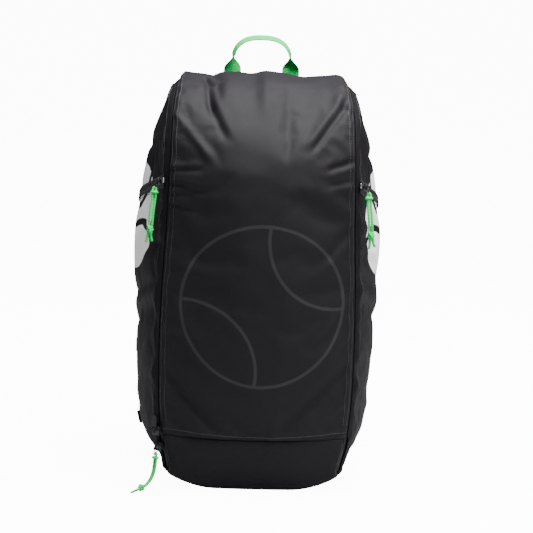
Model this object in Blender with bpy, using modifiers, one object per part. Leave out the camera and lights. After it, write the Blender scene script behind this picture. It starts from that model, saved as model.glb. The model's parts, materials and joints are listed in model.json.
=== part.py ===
"""Racket backpack: a soft padded shell with a full-length front door, two side pockets, a grab
handle and two shoulder straps.

Metres, +Z up. The front faces -Y, and the origin is on the floor under the middle of the base.
Left is -X and right is +X, as seen from the front."""

import math

import bmesh
import bpy
from mathutils import Matrix, Vector

# ---------------------------------------------------------------- driving dimensions

BACK_Y = 0.100                 # plane where the side panels meet the back panel
SHELL = 0.004                  # padded fabric of the door and the sides
ZIP_OUT = 0.0068               # from the zip's centre line to the door panel's edge
SIDE_OUT = 0.0085              # from the zip's centre line to a side panel's edge
TAPE_IN = 0.0003               # each zip half starts this far from the centre line
TAPE_OUT = 0.0045
TAPE_THICK = 0.002
GAP = 0.0004                   # clearance between neighbouring pieces
CROWN_POWER = 2.4              # how square the front panel's pillow is
DOOR_SPLIT = 2.0               # station of the stitched seam above the lower front panel

# Stations of the shell, from the base's front edge up the front, over the hood, to the back
# seam: zip y, zip z, zip half width, crown y, crown z, height at the back, side bulge.
STATIONS = [
    (-0.0830, 0.0060, 0.1045, -0.0910, 0.0060, 0.006, 0.0100),
    (-0.0850, 0.0350, 0.1078, -0.1030, 0.0350, 0.035, 0.0178),
    (-0.0855, 0.0700, 0.1135, -0.1095, 0.0700, 0.070, 0.0200),
    (-0.0828, 0.1150, 0.1175, -0.1140, 0.1150, 0.115, 0.0192),
    (-0.0802, 0.1800, 0.1186, -0.1170, 0.1800, 0.180, 0.0212),
    (-0.0804, 0.2500, 0.1170, -0.1180, 0.2500, 0.250, 0.0240),
    (-0.0814, 0.3200, 0.1138, -0.1155, 0.3200, 0.318, 0.0268),
    (-0.0810, 0.3850, 0.1120, -0.1080, 0.3850, 0.378, 0.0240),
    (-0.0710, 0.4300, 0.1108, -0.0920, 0.4330, 0.418, 0.0175),
    (-0.0500, 0.4630, 0.1095, -0.0650, 0.4670, 0.440, 0.0120),
    (-0.0180, 0.4840, 0.1075, -0.0280, 0.4890, 0.452, 0.0080),
    (0.0250, 0.4925, 0.1045, 0.0220, 0.4985, 0.460, 0.0040),
    (0.0650, 0.4910, 0.0985, 0.0660, 0.4965, 0.466, 0.0020),
    (0.0920, 0.4840, 0.0900, 0.0940, 0.4860, 0.470, 0.0010),
    (0.1030, 0.4770, 0.0740, 0.1035, 0.4775, 0.472, 0.0000),
]
LAST = len(STATIONS) - 1
CORNER_ROOM = 0.010            # the door panel's corners are cut back this much there
CORNER_SPAN = 1.6              # stations over which the zip turns the hood's back corner

BACK_HALF_WIDTH = [(0.0, 0.098), (0.035, 0.112), (0.10, 0.122), (0.25, 0.128), (0.40, 0.117),
                   (0.45, 0.103), (0.472, 0.082)]
SIDE_SHAPE = [(0.0, 0.0), (0.30, 0.52), (0.62, 1.0), (0.84, 0.72), (1.0, 0.0)]

BACK_PANEL = (0.1005, 0.1085)  # front and back faces, along y
PAD_FRONT = BACK_PANEL[1] + GAP
BASE_THICK = 0.004

UPPER_SLIDER_Z, UPPER_SLIDER_TOP_Z = 0.074, 0.345
LOWER_SLIDER_Z = 0.054
SIDE_ZIP_START = (-0.072, 0.380)      # y, z of the slider at rest
SIDE_ZIP_END = (0.030, 0.350)
SIDE_TAPE_LIFT = 0.0017               # top of a side zip over the panel
SIDE_ZIP_WIDTH, SIDE_ZIP_THICK = 0.0070, 0.0012
SIDE_ZIP_REACH = 0.007                # the tape runs on past both ends of the slide
SIDE_ZIP_ROWS = 12
ZIP_STOP = (0.0055, 0.0045, 0.0016)   # metal clamp on the tape's front end
ZIP_STOP_EDGE = 0.0005
SLIDER = (0.008, 0.011, 0.0045)       # width, length, height
SLIDER_LIFT = 0.0016                  # gap between the tape and the slider's underside
BRIDGE_R, BRIDGE_WIRE = 0.0026, 0.0006
RING_R, RING_WIRE = 0.0035, 0.0006
EYE_LIFT = SLIDER_LIFT + SLIDER[2] + 0.0010   # height of the pull's pivot over the tape

CORD_R = 0.0015
WEBBING = (0.022, 0.0018)             # width and thickness of the handle's webbing
HANDLE_X = 0.0371                     # from the middle to each end of the handle
HANDLE_FOOT_Z = 0.5072
HANDLE_GAP = 0.0014                   # lets the arch turn on its sewn ends
HANDLE_TOP_Z = 0.5430

STRAP_WIDTH, STRAP_THICK = 0.058, 0.012
STRAP_PATH = [(0.044, 0.1185, 0.452), (0.050, 0.1255, 0.410), (0.058, 0.1280, 0.360),
              (0.070, 0.1280, 0.300), (0.090, 0.1285, 0.235), (0.116, 0.1300, 0.180),
              (0.130, 0.1310, 0.146)]
LOCK_CENTRE = (0.1365, 0.1310, 0.1310)
LOCK_SIZE = (0.032, 0.020, 0.006)
STRAP_FOOT = (0.1340, 0.1125, 0.0480)
STRAP_WEBBING = (0.024, 0.0018)

# Routes of the pull cords, one strand of each pair, from the pull's ring to the knot.
SIDE_CORD_ROUTE = [(0.1288, -0.0775, 0.3700), (0.1293, -0.0790, 0.3610), (0.1306, -0.0805, 0.3500),
                   (0.1317, -0.0815, 0.3390), (0.1325, -0.0820, 0.3290)]
LOWER_CORD_ROUTE = [(-0.1195, -0.0905, 0.0440), (-0.1201, -0.0925, 0.0330),
                    (-0.1219, -0.0945, 0.0220), (-0.1263, -0.0975, 0.0125),
                    (-0.1313, -0.1015, 0.0078)]
STRAND_GAP = 0.0036            # between the centre lines of a cord's two strands
KNOT = (0.0042, 0.0042, 0.0058)
KNOT_GAP = 0.0010              # the strands end slanted, so the knot keeps a little further off
TAIL = 0.012

COLOURS = {
    "shell_fabric": ((0.012, 0.011, 0.013), 0.62, 0.0),
    "lining_fabric": ((0.030, 0.030, 0.032), 0.80, 0.0),
    "mesh_fabric": ((0.018, 0.018, 0.020), 0.90, 0.0),
    "green_webbing": ((0.020, 0.520, 0.110), 0.60, 0.0),
    "green_cord": ((0.015, 0.450, 0.090), 0.55, 0.0),
    "zip_teeth": ((0.010, 0.010, 0.011), 0.40, 0.0),
    "dark_metal": ((0.050, 0.050, 0.055), 0.35, 0.9),
    "bright_metal": ((0.600, 0.600, 0.620), 0.30, 1.0),
    "black_plastic": ((0.012, 0.012, 0.013), 0.40, 0.0),
    "stiff_board": ((0.060, 0.060, 0.062), 0.60, 0.0),
}

# ---------------------------------------------------------------- scene helpers


def start_scene():
    for item in list(bpy.data.objects):
        bpy.data.objects.remove(item)
    parts = bpy.data.collections.new("racket_backpack")
    cutters = bpy.data.collections.new("cutters")
    for collection in (parts, cutters):
        bpy.context.scene.collection.children.link(collection)
    return parts, cutters


def make_material(name):
    colour, roughness, metallic = COLOURS[name]
    material = bpy.data.materials.new(name)
    material.use_nodes = True
    shader = material.node_tree.nodes["Principled BSDF"]
    shader.inputs["Base Color"].default_value = (*colour, 1.0)
    shader.inputs["Roughness"].default_value = roughness
    shader.inputs["Metallic"].default_value = metallic
    return material


PARTS, CUTTERS = start_scene()
MATERIALS = {name: make_material(name) for name in COLOURS}


def add(name, data, slot, matrix=None):
    """Link one named sub-part to the model's collection."""
    item = bpy.data.objects.new(name, data)
    item.matrix_world = matrix or Matrix.Identity(4)
    data.materials.append(MATERIALS[slot])
    PARTS.objects.link(item)
    return item


def take(slot, name, collection=None):
    """Name the primitive just added and move it to its collection."""
    item = bpy.context.object
    item.name = name
    item.data.materials.clear()
    item.data.materials.append(MATERIALS[slot])
    for old in list(item.users_collection):
        old.objects.unlink(item)
    (collection or PARTS).objects.link(item)
    return item


def bevel(item, width, segments=2):
    modifier = item.modifiers.new("rounded_edges", "BEVEL")
    modifier.width = width
    modifier.segments = segments
    modifier.limit_method = "ANGLE"
    return item


def smooth_mesh(mesh, degrees=40):
    mesh.shade_smooth()
    mesh.set_sharp_from_angle(angle=math.radians(degrees))


def frame_matrix(origin, across, along, up):
    """Matrix whose X, Y and Z axes are the three given directions."""
    turn = Matrix((across, along, up)).transposed().to_4x4()
    return Matrix.Translation(origin) @ turn


# ---------------------------------------------------------------- curves


def hermite(before, start, end, after, t):
    """Catmull-Rom value between start and end."""
    slope_in, slope_out = (end - before) / 2, (after - start) / 2
    t2, t3 = t * t, t * t * t
    return (start * (2 * t3 - 3 * t2 + 1) + slope_in * (t3 - 2 * t2 + t)
            + end * (3 * t2 - 2 * t3) + slope_out * (t3 - t2))


def through(knots, at):
    """Smooth value at a place along (place, value) knots."""
    at = min(max(at, knots[0][0]), knots[-1][0])
    i = max(k for k in range(len(knots) - 1) if knots[k][0] <= at)
    (x0, y0), (x1, y1) = knots[i], knots[i + 1]
    run = x1 - x0

    def slope(k):
        low, high = max(k - 1, 0), min(k + 1, len(knots) - 1)
        return (knots[high][1] - knots[low][1]) / (knots[high][0] - knots[low][0])

    t = (at - x0) / run
    t2, t3 = t * t, t * t * t
    return (y0 * (2 * t3 - 3 * t2 + 1) + slope(i) * run * (t3 - 2 * t2 + t)
            + y1 * (3 * t2 - 2 * t3) + slope(i + 1) * run * (t3 - t2))


def smooth_path(points, count):
    """Evenly placed points along the smooth curve through the given ones."""
    points = [Vector(p) for p in points]
    ends = [2 * points[0] - points[1], *points, 2 * points[-1] - points[-2]]
    fine = []
    for i in range(len(points) - 1):
        fine += [hermite(*ends[i:i + 4], k / 16) for k in range(16)]
    fine.append(points[-1])
    lengths = [0.0]
    for a, b in zip(fine, fine[1:]):
        lengths.append(lengths[-1] + (b - a).length)
    path = []
    for k in range(count):
        want = lengths[-1] * k / (count - 1)
        i = min(max(j for j in range(len(fine)) if lengths[j] <= want + 1e-9), len(fine) - 2)
        share = (want - lengths[i]) / (lengths[i + 1] - lengths[i])
        path.append(fine[i].lerp(fine[i + 1], share))
    return path


# ---------------------------------------------------------------- the shell's surface


def station(v):
    """The seven values of the shell at place v, which runs from 0 to LAST."""
    v = min(max(v, 0.0), float(LAST))
    i = min(int(v), LAST - 1)
    rows = [STATIONS[min(max(k, 0), LAST)] for k in (i - 1, i, i + 1, i + 2)]
    return [hermite(*(row[c] for row in rows), v - i) for c in range(7)]


def station_at_height(z):
    """Place of the station whose zip is at height z, on the upright front."""
    low, high = 0.0, 10.0
    for _ in range(40):
        middle = (low + high) / 2
        if station(middle)[1] < z:
            low = middle
        else:
            high = middle
    return low


def seam_normal(v):
    """Outward direction across the zip's line, in the YZ plane, at place v."""
    step = 0.05
    a, b = station(max(v - step, 0)), station(min(v + step, LAST))
    run = Vector((0, b[0] - a[0], b[1] - a[1])).normalized()
    return Vector((0, -run.z, run.y))


def corner_turn(v):
    """0 along the edges of the door, rising to 1 where the zip crosses the back of the hood."""
    turn = min(max((v - (LAST - CORNER_SPAN)) / CORNER_SPAN, 0.0), 1.0)
    return turn * turn * (3 - 2 * turn)


def zip_frame(side, v):
    """Centre of the zip, its direction across towards the side panel, and its outward one.
    Both turn round the hood's back corner, where the zip crosses to the other side."""
    zip_y, zip_z, half = station(v)[:3]
    out = seam_normal(v)
    sideways = Vector((side, 0, 0))
    centre = Vector((side * half, zip_y, zip_z))
    turn = corner_turn(v)
    end_out = (seam_normal(LAST) + Vector((0, 1, 0))).normalized()
    end_across = Vector((0, end_out.z, -end_out.y))
    across = (sideways - out).normalized().lerp(end_across, turn).normalized()
    return centre, across, (sideways + out).normalized().lerp(end_out, turn).normalized()


def back_half_width(z):
    return through(BACK_HALF_WIDTH, z)


def side_point(side, v, t, start=SIDE_OUT, inset=0.0):
    """Point on a side panel: t is 0 at the zip and 1 at the back seam."""
    centre, across, _ = zip_frame(side, v)
    back_z, bulge = station(v)[5:]
    near = centre + across * start
    far = Vector((side * back_half_width(back_z), BACK_Y, back_z))
    point = near.lerp(far, t)
    point.x += side * (bulge * through(SIDE_SHAPE, t) - inset)
    return point


def side_point_at(side, y, z, inset=0.0):
    """Point on the upright part of a side panel at a depth and a height."""
    v = station_at_height(z)
    near, far = side_point(side, v, 0.0).y, BACK_Y
    return side_point(side, v, (y - near) / (far - near), inset=inset)


def door_point(v, u, start=ZIP_OUT):
    """Point on the front door: u runs from -1 at the left zip to 1 at the right zip."""
    crown_y, crown_z = station(v)[3:5]
    centre, across, _ = zip_frame(1, v)
    edge = centre - across * start - Vector((CORNER_ROOM * corner_turn(v), 0, 0))
    rise = 1 - abs(u) ** CROWN_POWER
    return Vector((edge.x * u, edge.y + (crown_y - edge.y) * rise,
                   edge.z + (crown_z - edge.z) * rise))


def steps(start, end, count):
    return [start + (end - start) * k / count for k in range(count + 1)]


# ---------------------------------------------------------------- solids


def loft(name, rows, thickness, slot):
    """Shell from rows of points, thickened inward. Each row runs so that faces look out."""
    width = len(rows[0])
    points = [p for row in rows for p in row]
    faces = [(i * width + j, i * width + j + 1, (i + 1) * width + j + 1, (i + 1) * width + j)
             for i in range(len(rows) - 1) for j in range(width - 1)]
    mesh = bpy.data.meshes.new(name)
    mesh.from_pydata(points, [], faces)
    smooth_mesh(mesh)
    item = add(name, mesh, slot)
    solid = item.modifiers.new("thickness", "SOLIDIFY")
    solid.thickness = thickness
    solid.offset = -1
    return item


def mirror_rows(rows, side):
    """Rows for the right side look out as they are; rows for the left side are turned."""
    return rows if side > 0 else [list(reversed(row)) for row in rows]


def flat_piece(name, outlines, thickness, slot, matrix):
    """Flat solid from closed outlines in its own XY plane: the first is the edge, others holes."""
    curve = bpy.data.curves.new(name, "CURVE")
    curve.dimensions = "2D"
    curve.fill_mode = "BOTH"
    curve.extrude = thickness / 2
    for outline in outlines:
        spline = curve.splines.new("POLY")
        spline.points.add(len(outline) - 1)
        for point, (x, y) in zip(spline.points, outline):
            point.co = (x, y, 0, 1)
        spline.use_cyclic_u = True
    return add(name, curve, slot, matrix)


def tube(name, points, radius, slot, resolution=2):
    """Round cord or wire along the points."""
    curve = bpy.data.curves.new(name, "CURVE")
    curve.dimensions = "3D"
    curve.bevel_depth = radius
    curve.bevel_resolution = resolution
    curve.use_fill_caps = True
    spline = curve.splines.new("POLY")
    spline.points.add(len(points) - 1)
    for point, place in zip(spline.points, points):
        point.co = (*place, 1)
    return add(name, curve, slot)


def as_mesh(item):
    """The same piece as a closed mesh object, in place of its curve."""
    graph = bpy.context.evaluated_depsgraph_get()
    mesh = bpy.data.meshes.new_from_object(item.evaluated_get(graph))
    work = bmesh.new()
    work.from_mesh(mesh)
    bmesh.ops.remove_doubles(work, verts=work.verts, dist=0.00001)
    bmesh.ops.recalc_face_normals(work, faces=work.faces)
    work.to_mesh(mesh)
    work.free()
    name, matrix = item.name, item.matrix_world.copy()
    collection = item.users_collection[0]
    bpy.data.objects.remove(item)
    fresh = bpy.data.objects.new(name, mesh)
    fresh.matrix_world = matrix
    collection.objects.link(fresh)
    return fresh


def combine(item, tool, operation):
    """Boolean of a cutter or an added body, which then stays hidden with the cutters."""
    modifier = item.modifiers.new(tool.name, "BOOLEAN")
    modifier.operation = operation
    modifier.solver = "EXACT"
    modifier.object = tool
    for old in list(tool.users_collection):
        old.objects.unlink(tool)
    CUTTERS.objects.link(tool)
    tool.hide_render = True
    tool.display_type = "WIRE"
    return item


def xz_matrix(y):
    """Places a flat outline drawn in XY upright in the XZ plane, at depth y."""
    return Matrix.Translation((0, y, 0)) @ Matrix.Rotation(math.radians(90), 4, "X")


def rounded_box_outline(x0, x1, z0, z1, radius, arc=4):
    """Closed outline of a rectangle with round corners."""
    corners = [(x1 - radius, z0 + radius, -90), (x1 - radius, z1 - radius, 0),
               (x0 + radius, z1 - radius, 90), (x0 + radius, z0 + radius, 180)]
    outline = []
    for cx, cz, start in corners:
        for k in range(arc + 1):
            angle = math.radians(start + 90 * k / arc)
            outline.append((cx + radius * math.cos(angle), cz + radius * math.sin(angle)))
    return outline


def body_outline(z0, z1, grow, rows):
    """Outline of a sheet as wide as the back of the bag plus grow, from z0 up to z1."""
    heights = steps(z0, z1, rows)
    right = [(back_half_width(z) + grow, z) for z in heights]
    return right + [(-x, z) for x, z in reversed(right)]


# ---------------------------------------------------------------- shell panels


def make_front_door():
    end = LAST - 0.75
    across = steps(-1, 1, 12)
    lower = [[door_point(v, u) for u in across] for v in steps(0.0, DOOR_SPLIT - 0.03, 4)]
    upper = [[door_point(v, u) for u in across] for v in steps(DOOR_SPLIT + 0.03, end, 22)]
    loft("front_lower_panel", lower, SHELL, "shell_fabric")
    loft("front_upper_panel", upper, SHELL, "shell_fabric")


def make_side_panel(side, word):
    rows = [[side_point(side, v, t) for t in steps(0, 1, 9)] for v in steps(0.0, LAST - 1.6, 22)]
    loft(f"{word}_side_panel", mirror_rows(rows, side), SHELL, "shell_fabric")


def zip_rails(low, high, first=0.35):
    """Rows of two points along the whole zip: up the left, across the back, down the right."""
    run = steps(first, LAST, 26)
    rows = []
    for side, places in ((-1, run), (1, list(reversed(run)))):
        for v in places:
            centre, across, _ = zip_frame(side, v)
            rows.append([centre + across * low, centre + across * high])
    return rows


def make_front_zip():
    body_half = zip_rails(TAPE_IN, TAPE_OUT)
    door_half = zip_rails(-TAPE_OUT, -TAPE_IN)
    flip = [list(reversed(row)) for row in body_half]
    loft("front_zip_body_half", flip, TAPE_THICK, "zip_teeth")
    flip = [list(reversed(row)) for row in door_half]
    loft("front_zip_door_half", flip, TAPE_THICK, "zip_teeth")


def base_outline(inset):
    """Outline of the base, seen from above: front edge, right side, back, left side."""
    front = [door_point(0.0, u, start=0.0) for u in steps(-1, 1, 8)]
    right = [side_point(1, 0.0, t, start=0.0) for t in steps(0.1, 1, 8)]
    left = [Vector((-p.x, p.y, 0)) for p in reversed(right)]
    outline = []
    for point in front + right + left:
        flat = Vector((point.x, point.y))
        outline.append(tuple(flat - flat.normalized() * inset))
    return outline


def make_base():
    flat_piece("base_panel", [base_outline(0.0)], BASE_THICK, "shell_fabric",
               Matrix.Translation((0, 0, BASE_THICK / 2)))
    board = 0.0025
    flat_piece("base_board", [base_outline(0.016)], board, "stiff_board",
               Matrix.Translation((0, 0, BASE_THICK + GAP + board / 2)))


def make_back():
    front, back = BACK_PANEL
    flat_piece("back_panel", [body_outline(0.006, 0.4695, 0.002, 12)], back - front,
               "mesh_fabric", xz_matrix((front + back) / 2))
    sheet = 0.0015
    flat_piece("back_stiffener", [body_outline(0.020, 0.4400, -0.016, 8)], sheet, "stiff_board",
               xz_matrix(front - GAP - sheet / 2))
    yoke = 0.002
    flat_piece("strap_yoke", [rounded_box_outline(-0.088, 0.088, 0.402, 0.4625, 0.014)], yoke,
               "shell_fabric", xz_matrix(PAD_FRONT + yoke / 2))
    edge = 0.0018
    half = [(back_half_width(z) + 0.0052, z) for z in steps(0.012, 0.440, 14)]
    for side, word in ((-1, "left"), (1, "right")):
        points = [(side * x, 0.1045, z) for x, z in half]
        tube(f"back_piping_{word}", points, edge, "shell_fabric")


def make_back_pads():
    thick = 0.010
    place = xz_matrix(PAD_FRONT + thick / 2)
    for side, word in ((-1, "left"), (1, "right")):
        low, high = sorted((side * 0.012, side * 0.092))
        outline = rounded_box_outline(low, high, 0.122, 0.390, 0.020)
        pad = flat_piece(f"back_pad_{word}", [outline], thick, "mesh_fabric", place)
        round_edges(pad, 0.003)
    lumbar = flat_piece("lumbar_pad", [rounded_box_outline(-0.092, 0.092, 0.030, 0.110, 0.020)],
                        thick, "mesh_fabric", place)
    round_edges(lumbar, 0.003)


def round_edges(item, width):
    """Weld a curve's caps, then round its edges."""
    weld = item.modifiers.new("weld", "WELD")
    weld.merge_threshold = 0.00001
    bevel(item, width, 1)


def make_racket_sleeve():
    """Padded divider inside: rackets stand between it and the back."""
    thick, y = 0.004, 0.047
    half = [(side_point_at(1, y, z).x - 0.014, z) for z in steps(0.010, 0.360, 8)]
    outline = half + [(-x, z) for x, z in reversed(half)]
    flat_piece("racket_sleeve", [outline], thick, "lining_fabric", xz_matrix(y))


def make_pocket_lining(side, word):
    """The flat pouch that hangs inside a side panel, under its pocket's zip."""
    rows = [[side_point_at(side, y, z, inset=0.012) for y in steps(-0.058, 0.030, 3)]
            for z in steps(0.150, 0.335, 6)]
    loft(f"{word}_pocket_lining", mirror_rows(rows, side), 0.003, "lining_fabric")


# ---------------------------------------------------------------- zips, sliders and pulls


def side_zip_frame(side):
    """Start of a side zip, its direction, its length and its outward direction."""
    start = side_point_at(side, *SIDE_ZIP_START)
    end = side_point_at(side, *SIDE_ZIP_END)
    along = (end - start).normalized()
    upward = Vector((0, 0, 1))
    out = (along.cross(upward) * -side).normalized()
    out = out if out.x * side > 0 else -out
    return start, along, (end - start).length, out


def make_side_zip(side, word):
    """Tape and teeth of a side pocket's zip, lying on the side panel."""
    start, along, length, out = side_zip_frame(side)
    across = along.cross(out).normalized()
    rows = []
    for k in range(SIDE_ZIP_ROWS + 1):
        run = -SIDE_ZIP_REACH + (length + 2 * SIDE_ZIP_REACH) * k / SIDE_ZIP_ROWS
        middle = start + along * run
        surface = side_point_at(side, middle.y, middle.z)
        middle.x = surface.x + side * SIDE_TAPE_LIFT
        rows.append([middle - across * SIDE_ZIP_WIDTH / 2, middle + across * SIDE_ZIP_WIDTH / 2])
    loft(f"side_zip_{word}", rows, SIDE_ZIP_THICK, "zip_teeth")
    stop = (start - along * (SIDE_ZIP_REACH + ZIP_STOP[1] * 0.7)
            + out * (SIDE_TAPE_LIFT + SIDE_ZIP_THICK / 2))
    bpy.ops.mesh.primitive_cube_add(size=1)
    item = take("bright_metal", f"side_zip_stop_{word}")
    item.data.transform(Matrix.Diagonal((*ZIP_STOP, 1)))
    item.matrix_world = frame_matrix(stop, across, along, across.cross(along))
    bevel(item, ZIP_STOP_EDGE, 1)


def make_slider(name, origin, across, along, out, bridge_across):
    """Zip slider: a rounded block with a wire bridge. The bridge's hole runs along the width,
    or along the slide if bridge_across is set."""
    width, length, height = SLIDER
    place = frame_matrix(origin, across, along, out)
    bpy.ops.mesh.primitive_cube_add(size=1)
    block = take("dark_metal", name)
    size = Matrix.Diagonal((width, length, height, 1))
    block.data.transform(Matrix.Translation((0, 0, SLIDER_LIFT + height / 2)) @ size)
    bevel(block, 0.0012, 2)
    bpy.ops.mesh.primitive_torus_add(major_radius=BRIDGE_R, minor_radius=BRIDGE_WIRE,
                                     major_segments=16, minor_segments=6)
    bridge = take("dark_metal", name + "_bridge", CUTTERS)
    upright = Matrix.Rotation(math.radians(90), 4, "X" if bridge_across else "Y")
    bridge.data.transform(Matrix.Translation((0, 0, SLIDER_LIFT + height)) @ upright)
    block.matrix_world = place
    bridge.matrix_world = place
    combine(block, bridge, "UNION")
    return block


def make_ring(name, pivot, axis, hang):
    """Wire ring that passes through the bridge at the pivot and hangs along hang."""
    bpy.ops.mesh.primitive_torus_add(major_radius=RING_R, minor_radius=RING_WIRE,
                                     major_segments=16, minor_segments=6)
    ring = take("bright_metal", name)
    ring.data.transform(Matrix.Translation((0, RING_R, 0)))
    hang = (hang - axis * hang.dot(axis)).normalized()
    ring.matrix_world = frame_matrix(pivot, axis, hang, axis.cross(hang))
    return ring


def make_cord_pull(word, route, spread, run_out):
    """Two strands of cord side by side from the ring to a knot with two short tails."""
    end = Vector(route[-1])
    run = Vector(run_out).normalized()
    across = Vector(spread) - run * Vector(spread).dot(run)
    across.normalize()
    for sign, strand in ((-1, "a"), (1, "b")):
        shift = across * (sign * STRAND_GAP / 2)
        points = [p + shift for p in smooth_path(route, 7)]
        tube(f"{word}_cord_{strand}", points, CORD_R, "green_cord")
    centre = end + run * (KNOT[2] + KNOT_GAP)
    place = frame_matrix(centre, across, run.cross(across), run)
    bpy.ops.mesh.primitive_uv_sphere_add(segments=12, ring_count=8, radius=1)
    knot = take("green_cord", f"{word}_cord_knot")
    knot.data.transform(Matrix.Diagonal((*KNOT, 1)))
    knot.matrix_world = place
    smooth_mesh(knot.data, 80)
    for sign, strand in ((-1, "a"), (1, "b")):
        foot = centre + across * (sign * 0.0018) + run * (KNOT[2] * 0.5)
        tip = foot + run * TAIL + across * (sign * 0.0022)
        tail = as_mesh(tube(f"{word}_tail_{strand}", [foot, tip], CORD_R * 0.95, "green_cord"))
        combine(knot, tail, "UNION")


def make_side_pull(side, word):
    start, along, _, out = side_zip_frame(side)
    across = along.cross(out).normalized()
    origin = start + out * SIDE_TAPE_LIFT
    make_slider(f"side_slider_{word}", origin, across, along, out, True)
    pivot = origin + out * EYE_LIFT
    make_ring(f"side_pull_ring_{word}", pivot, along, Vector((side * 0.25, 0, -1)))
    route = [(side * x, y, z) for x, y, z in SIDE_CORD_ROUTE]
    make_cord_pull(f"{word}_side", route, (1, 0, 0), (side * 0.08, 0, -1))


def front_slider_frame(z):
    """Place of a front slider at height z on the left zip, on the body's half of the chain."""
    low = zip_frame(-1, station_at_height(UPPER_SLIDER_Z))
    high = zip_frame(-1, station_at_height(UPPER_SLIDER_TOP_Z))
    centre, across, out = zip_frame(-1, station_at_height(z))
    along = (high[0] - low[0]).normalized()
    across = (across - along * across.dot(along)).normalized()
    out = along.cross(across) if along.cross(across).dot(out) > 0 else across.cross(along)
    offset = SLIDER[0] / 2 + TAPE_IN + GAP
    return centre + across * offset, across, along, out


def make_front_pulls():
    for word, z in (("upper", UPPER_SLIDER_Z), ("lower", LOWER_SLIDER_Z)):
        origin, across, along, out = front_slider_frame(z)
        make_slider(f"front_{word}_slider", origin, across, along, out, False)
        pivot = origin + out * EYE_LIFT
        if word == "lower":
            make_ring("front_lower_pull_ring", pivot, across, -along)
        else:
            make_upper_pull(pivot, across, along, out)
    make_cord_pull("front_lower", LOWER_CORD_ROUTE, (0.6, -0.5, 0.4), (-0.60, -0.75, -0.10))


def make_upper_pull(pivot, across, along, out):
    """Flat oval pull with an eye round the bridge, lying up along the zip."""
    width, length, thick = 0.0078, 0.019, 0.0012
    bar = 0.0012
    edge = rounded_box_outline(-width / 2, width / 2, -bar / 2, length, width / 2 - 0.0001)
    eye = rounded_box_outline(-0.0024, 0.0024, bar / 2, bar / 2 + 0.0042, 0.0010, 2)
    place = frame_matrix(pivot, across, along, across.cross(along))
    flat_piece("front_upper_pull", [edge, eye], thick, "black_plastic", place)


# ---------------------------------------------------------------- handle and straps


def make_handle():
    width, thick = WEBBING
    arch = []
    spring, rise = HANDLE_FOOT_Z, HANDLE_TOP_Z - HANDLE_FOOT_Z
    for reach, top in ((HANDLE_X + thick, rise), (HANDLE_X - thick, rise - 2 * thick)):
        angles = steps(0, 180, 14)
        curve = [(reach * math.copysign(abs(math.cos(math.radians(a))) ** 0.8, 90 - a),
                  spring + top * math.sin(math.radians(a)) ** 0.8) for a in angles]
        arch += curve if not arch else list(reversed(curve))
    tab_y = PAD_FRONT + thick / 2
    flat_piece("grab_handle", [arch], width, "green_webbing", xz_matrix(tab_y))
    for side, word in ((-1, "left"), (1, "right")):
        x = side * HANDLE_X
        outline = [(x - width / 2, 0.4660), (x + width / 2, 0.4660),
                   (x + width / 2, HANDLE_FOOT_Z - HANDLE_GAP), (x - width / 2, HANDLE_FOOT_Z - HANDLE_GAP)]
        flat_piece(f"handle_tab_{word}", [outline], thick, "green_webbing", xz_matrix(tab_y))


def make_shoulder_strap(side, word):
    """Padded strap from the yoke to the ladder lock, a rounded box section along its path."""
    path = smooth_path([(side * x, y, z) for x, y, z in STRAP_PATH], 13)
    rings = []
    for i, centre in enumerate(path):
        run = (path[min(i + 1, len(path) - 1)] - path[max(i - 1, 0)]).normalized()
        depth = Vector((0, 1, 0))
        depth = (depth - run * depth.dot(run)).normalized()
        across = run.cross(depth)
        taper = 1 - 0.42 * max(0.0, i / (len(path) - 1) - 0.55) / 0.45
        half_w, half_t = STRAP_WIDTH / 2 * taper, STRAP_THICK / 2
        corner = half_t * 0.6
        section = [(-half_w, -half_t + corner), (-half_w + corner, -half_t),
                   (half_w - corner, -half_t), (half_w, -half_t + corner),
                   (half_w, half_t - corner), (half_w - corner, half_t),
                   (-half_w + corner, half_t), (-half_w, half_t - corner)]
        rings.append([centre + across * a + depth * b for a, b in section])
    count = len(rings[0])
    points = [p for ring in rings for p in ring]
    faces = [(i * count + j, i * count + (j + 1) % count, (i + 1) * count + (j + 1) % count,
              (i + 1) * count + j) for i in range(len(rings) - 1) for j in range(count)]
    faces += [tuple(range(count)), tuple(reversed(range(len(points) - count, len(points))))]
    mesh = bpy.data.meshes.new(f"shoulder_strap_{word}")
    mesh.from_pydata(points, [], faces)
    work = bmesh.new()
    work.from_mesh(mesh)
    bmesh.ops.recalc_face_normals(work, faces=work.faces)
    work.to_mesh(mesh)
    work.free()
    smooth_mesh(mesh, 50)
    add(f"shoulder_strap_{word}", mesh, "mesh_fabric")


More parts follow.
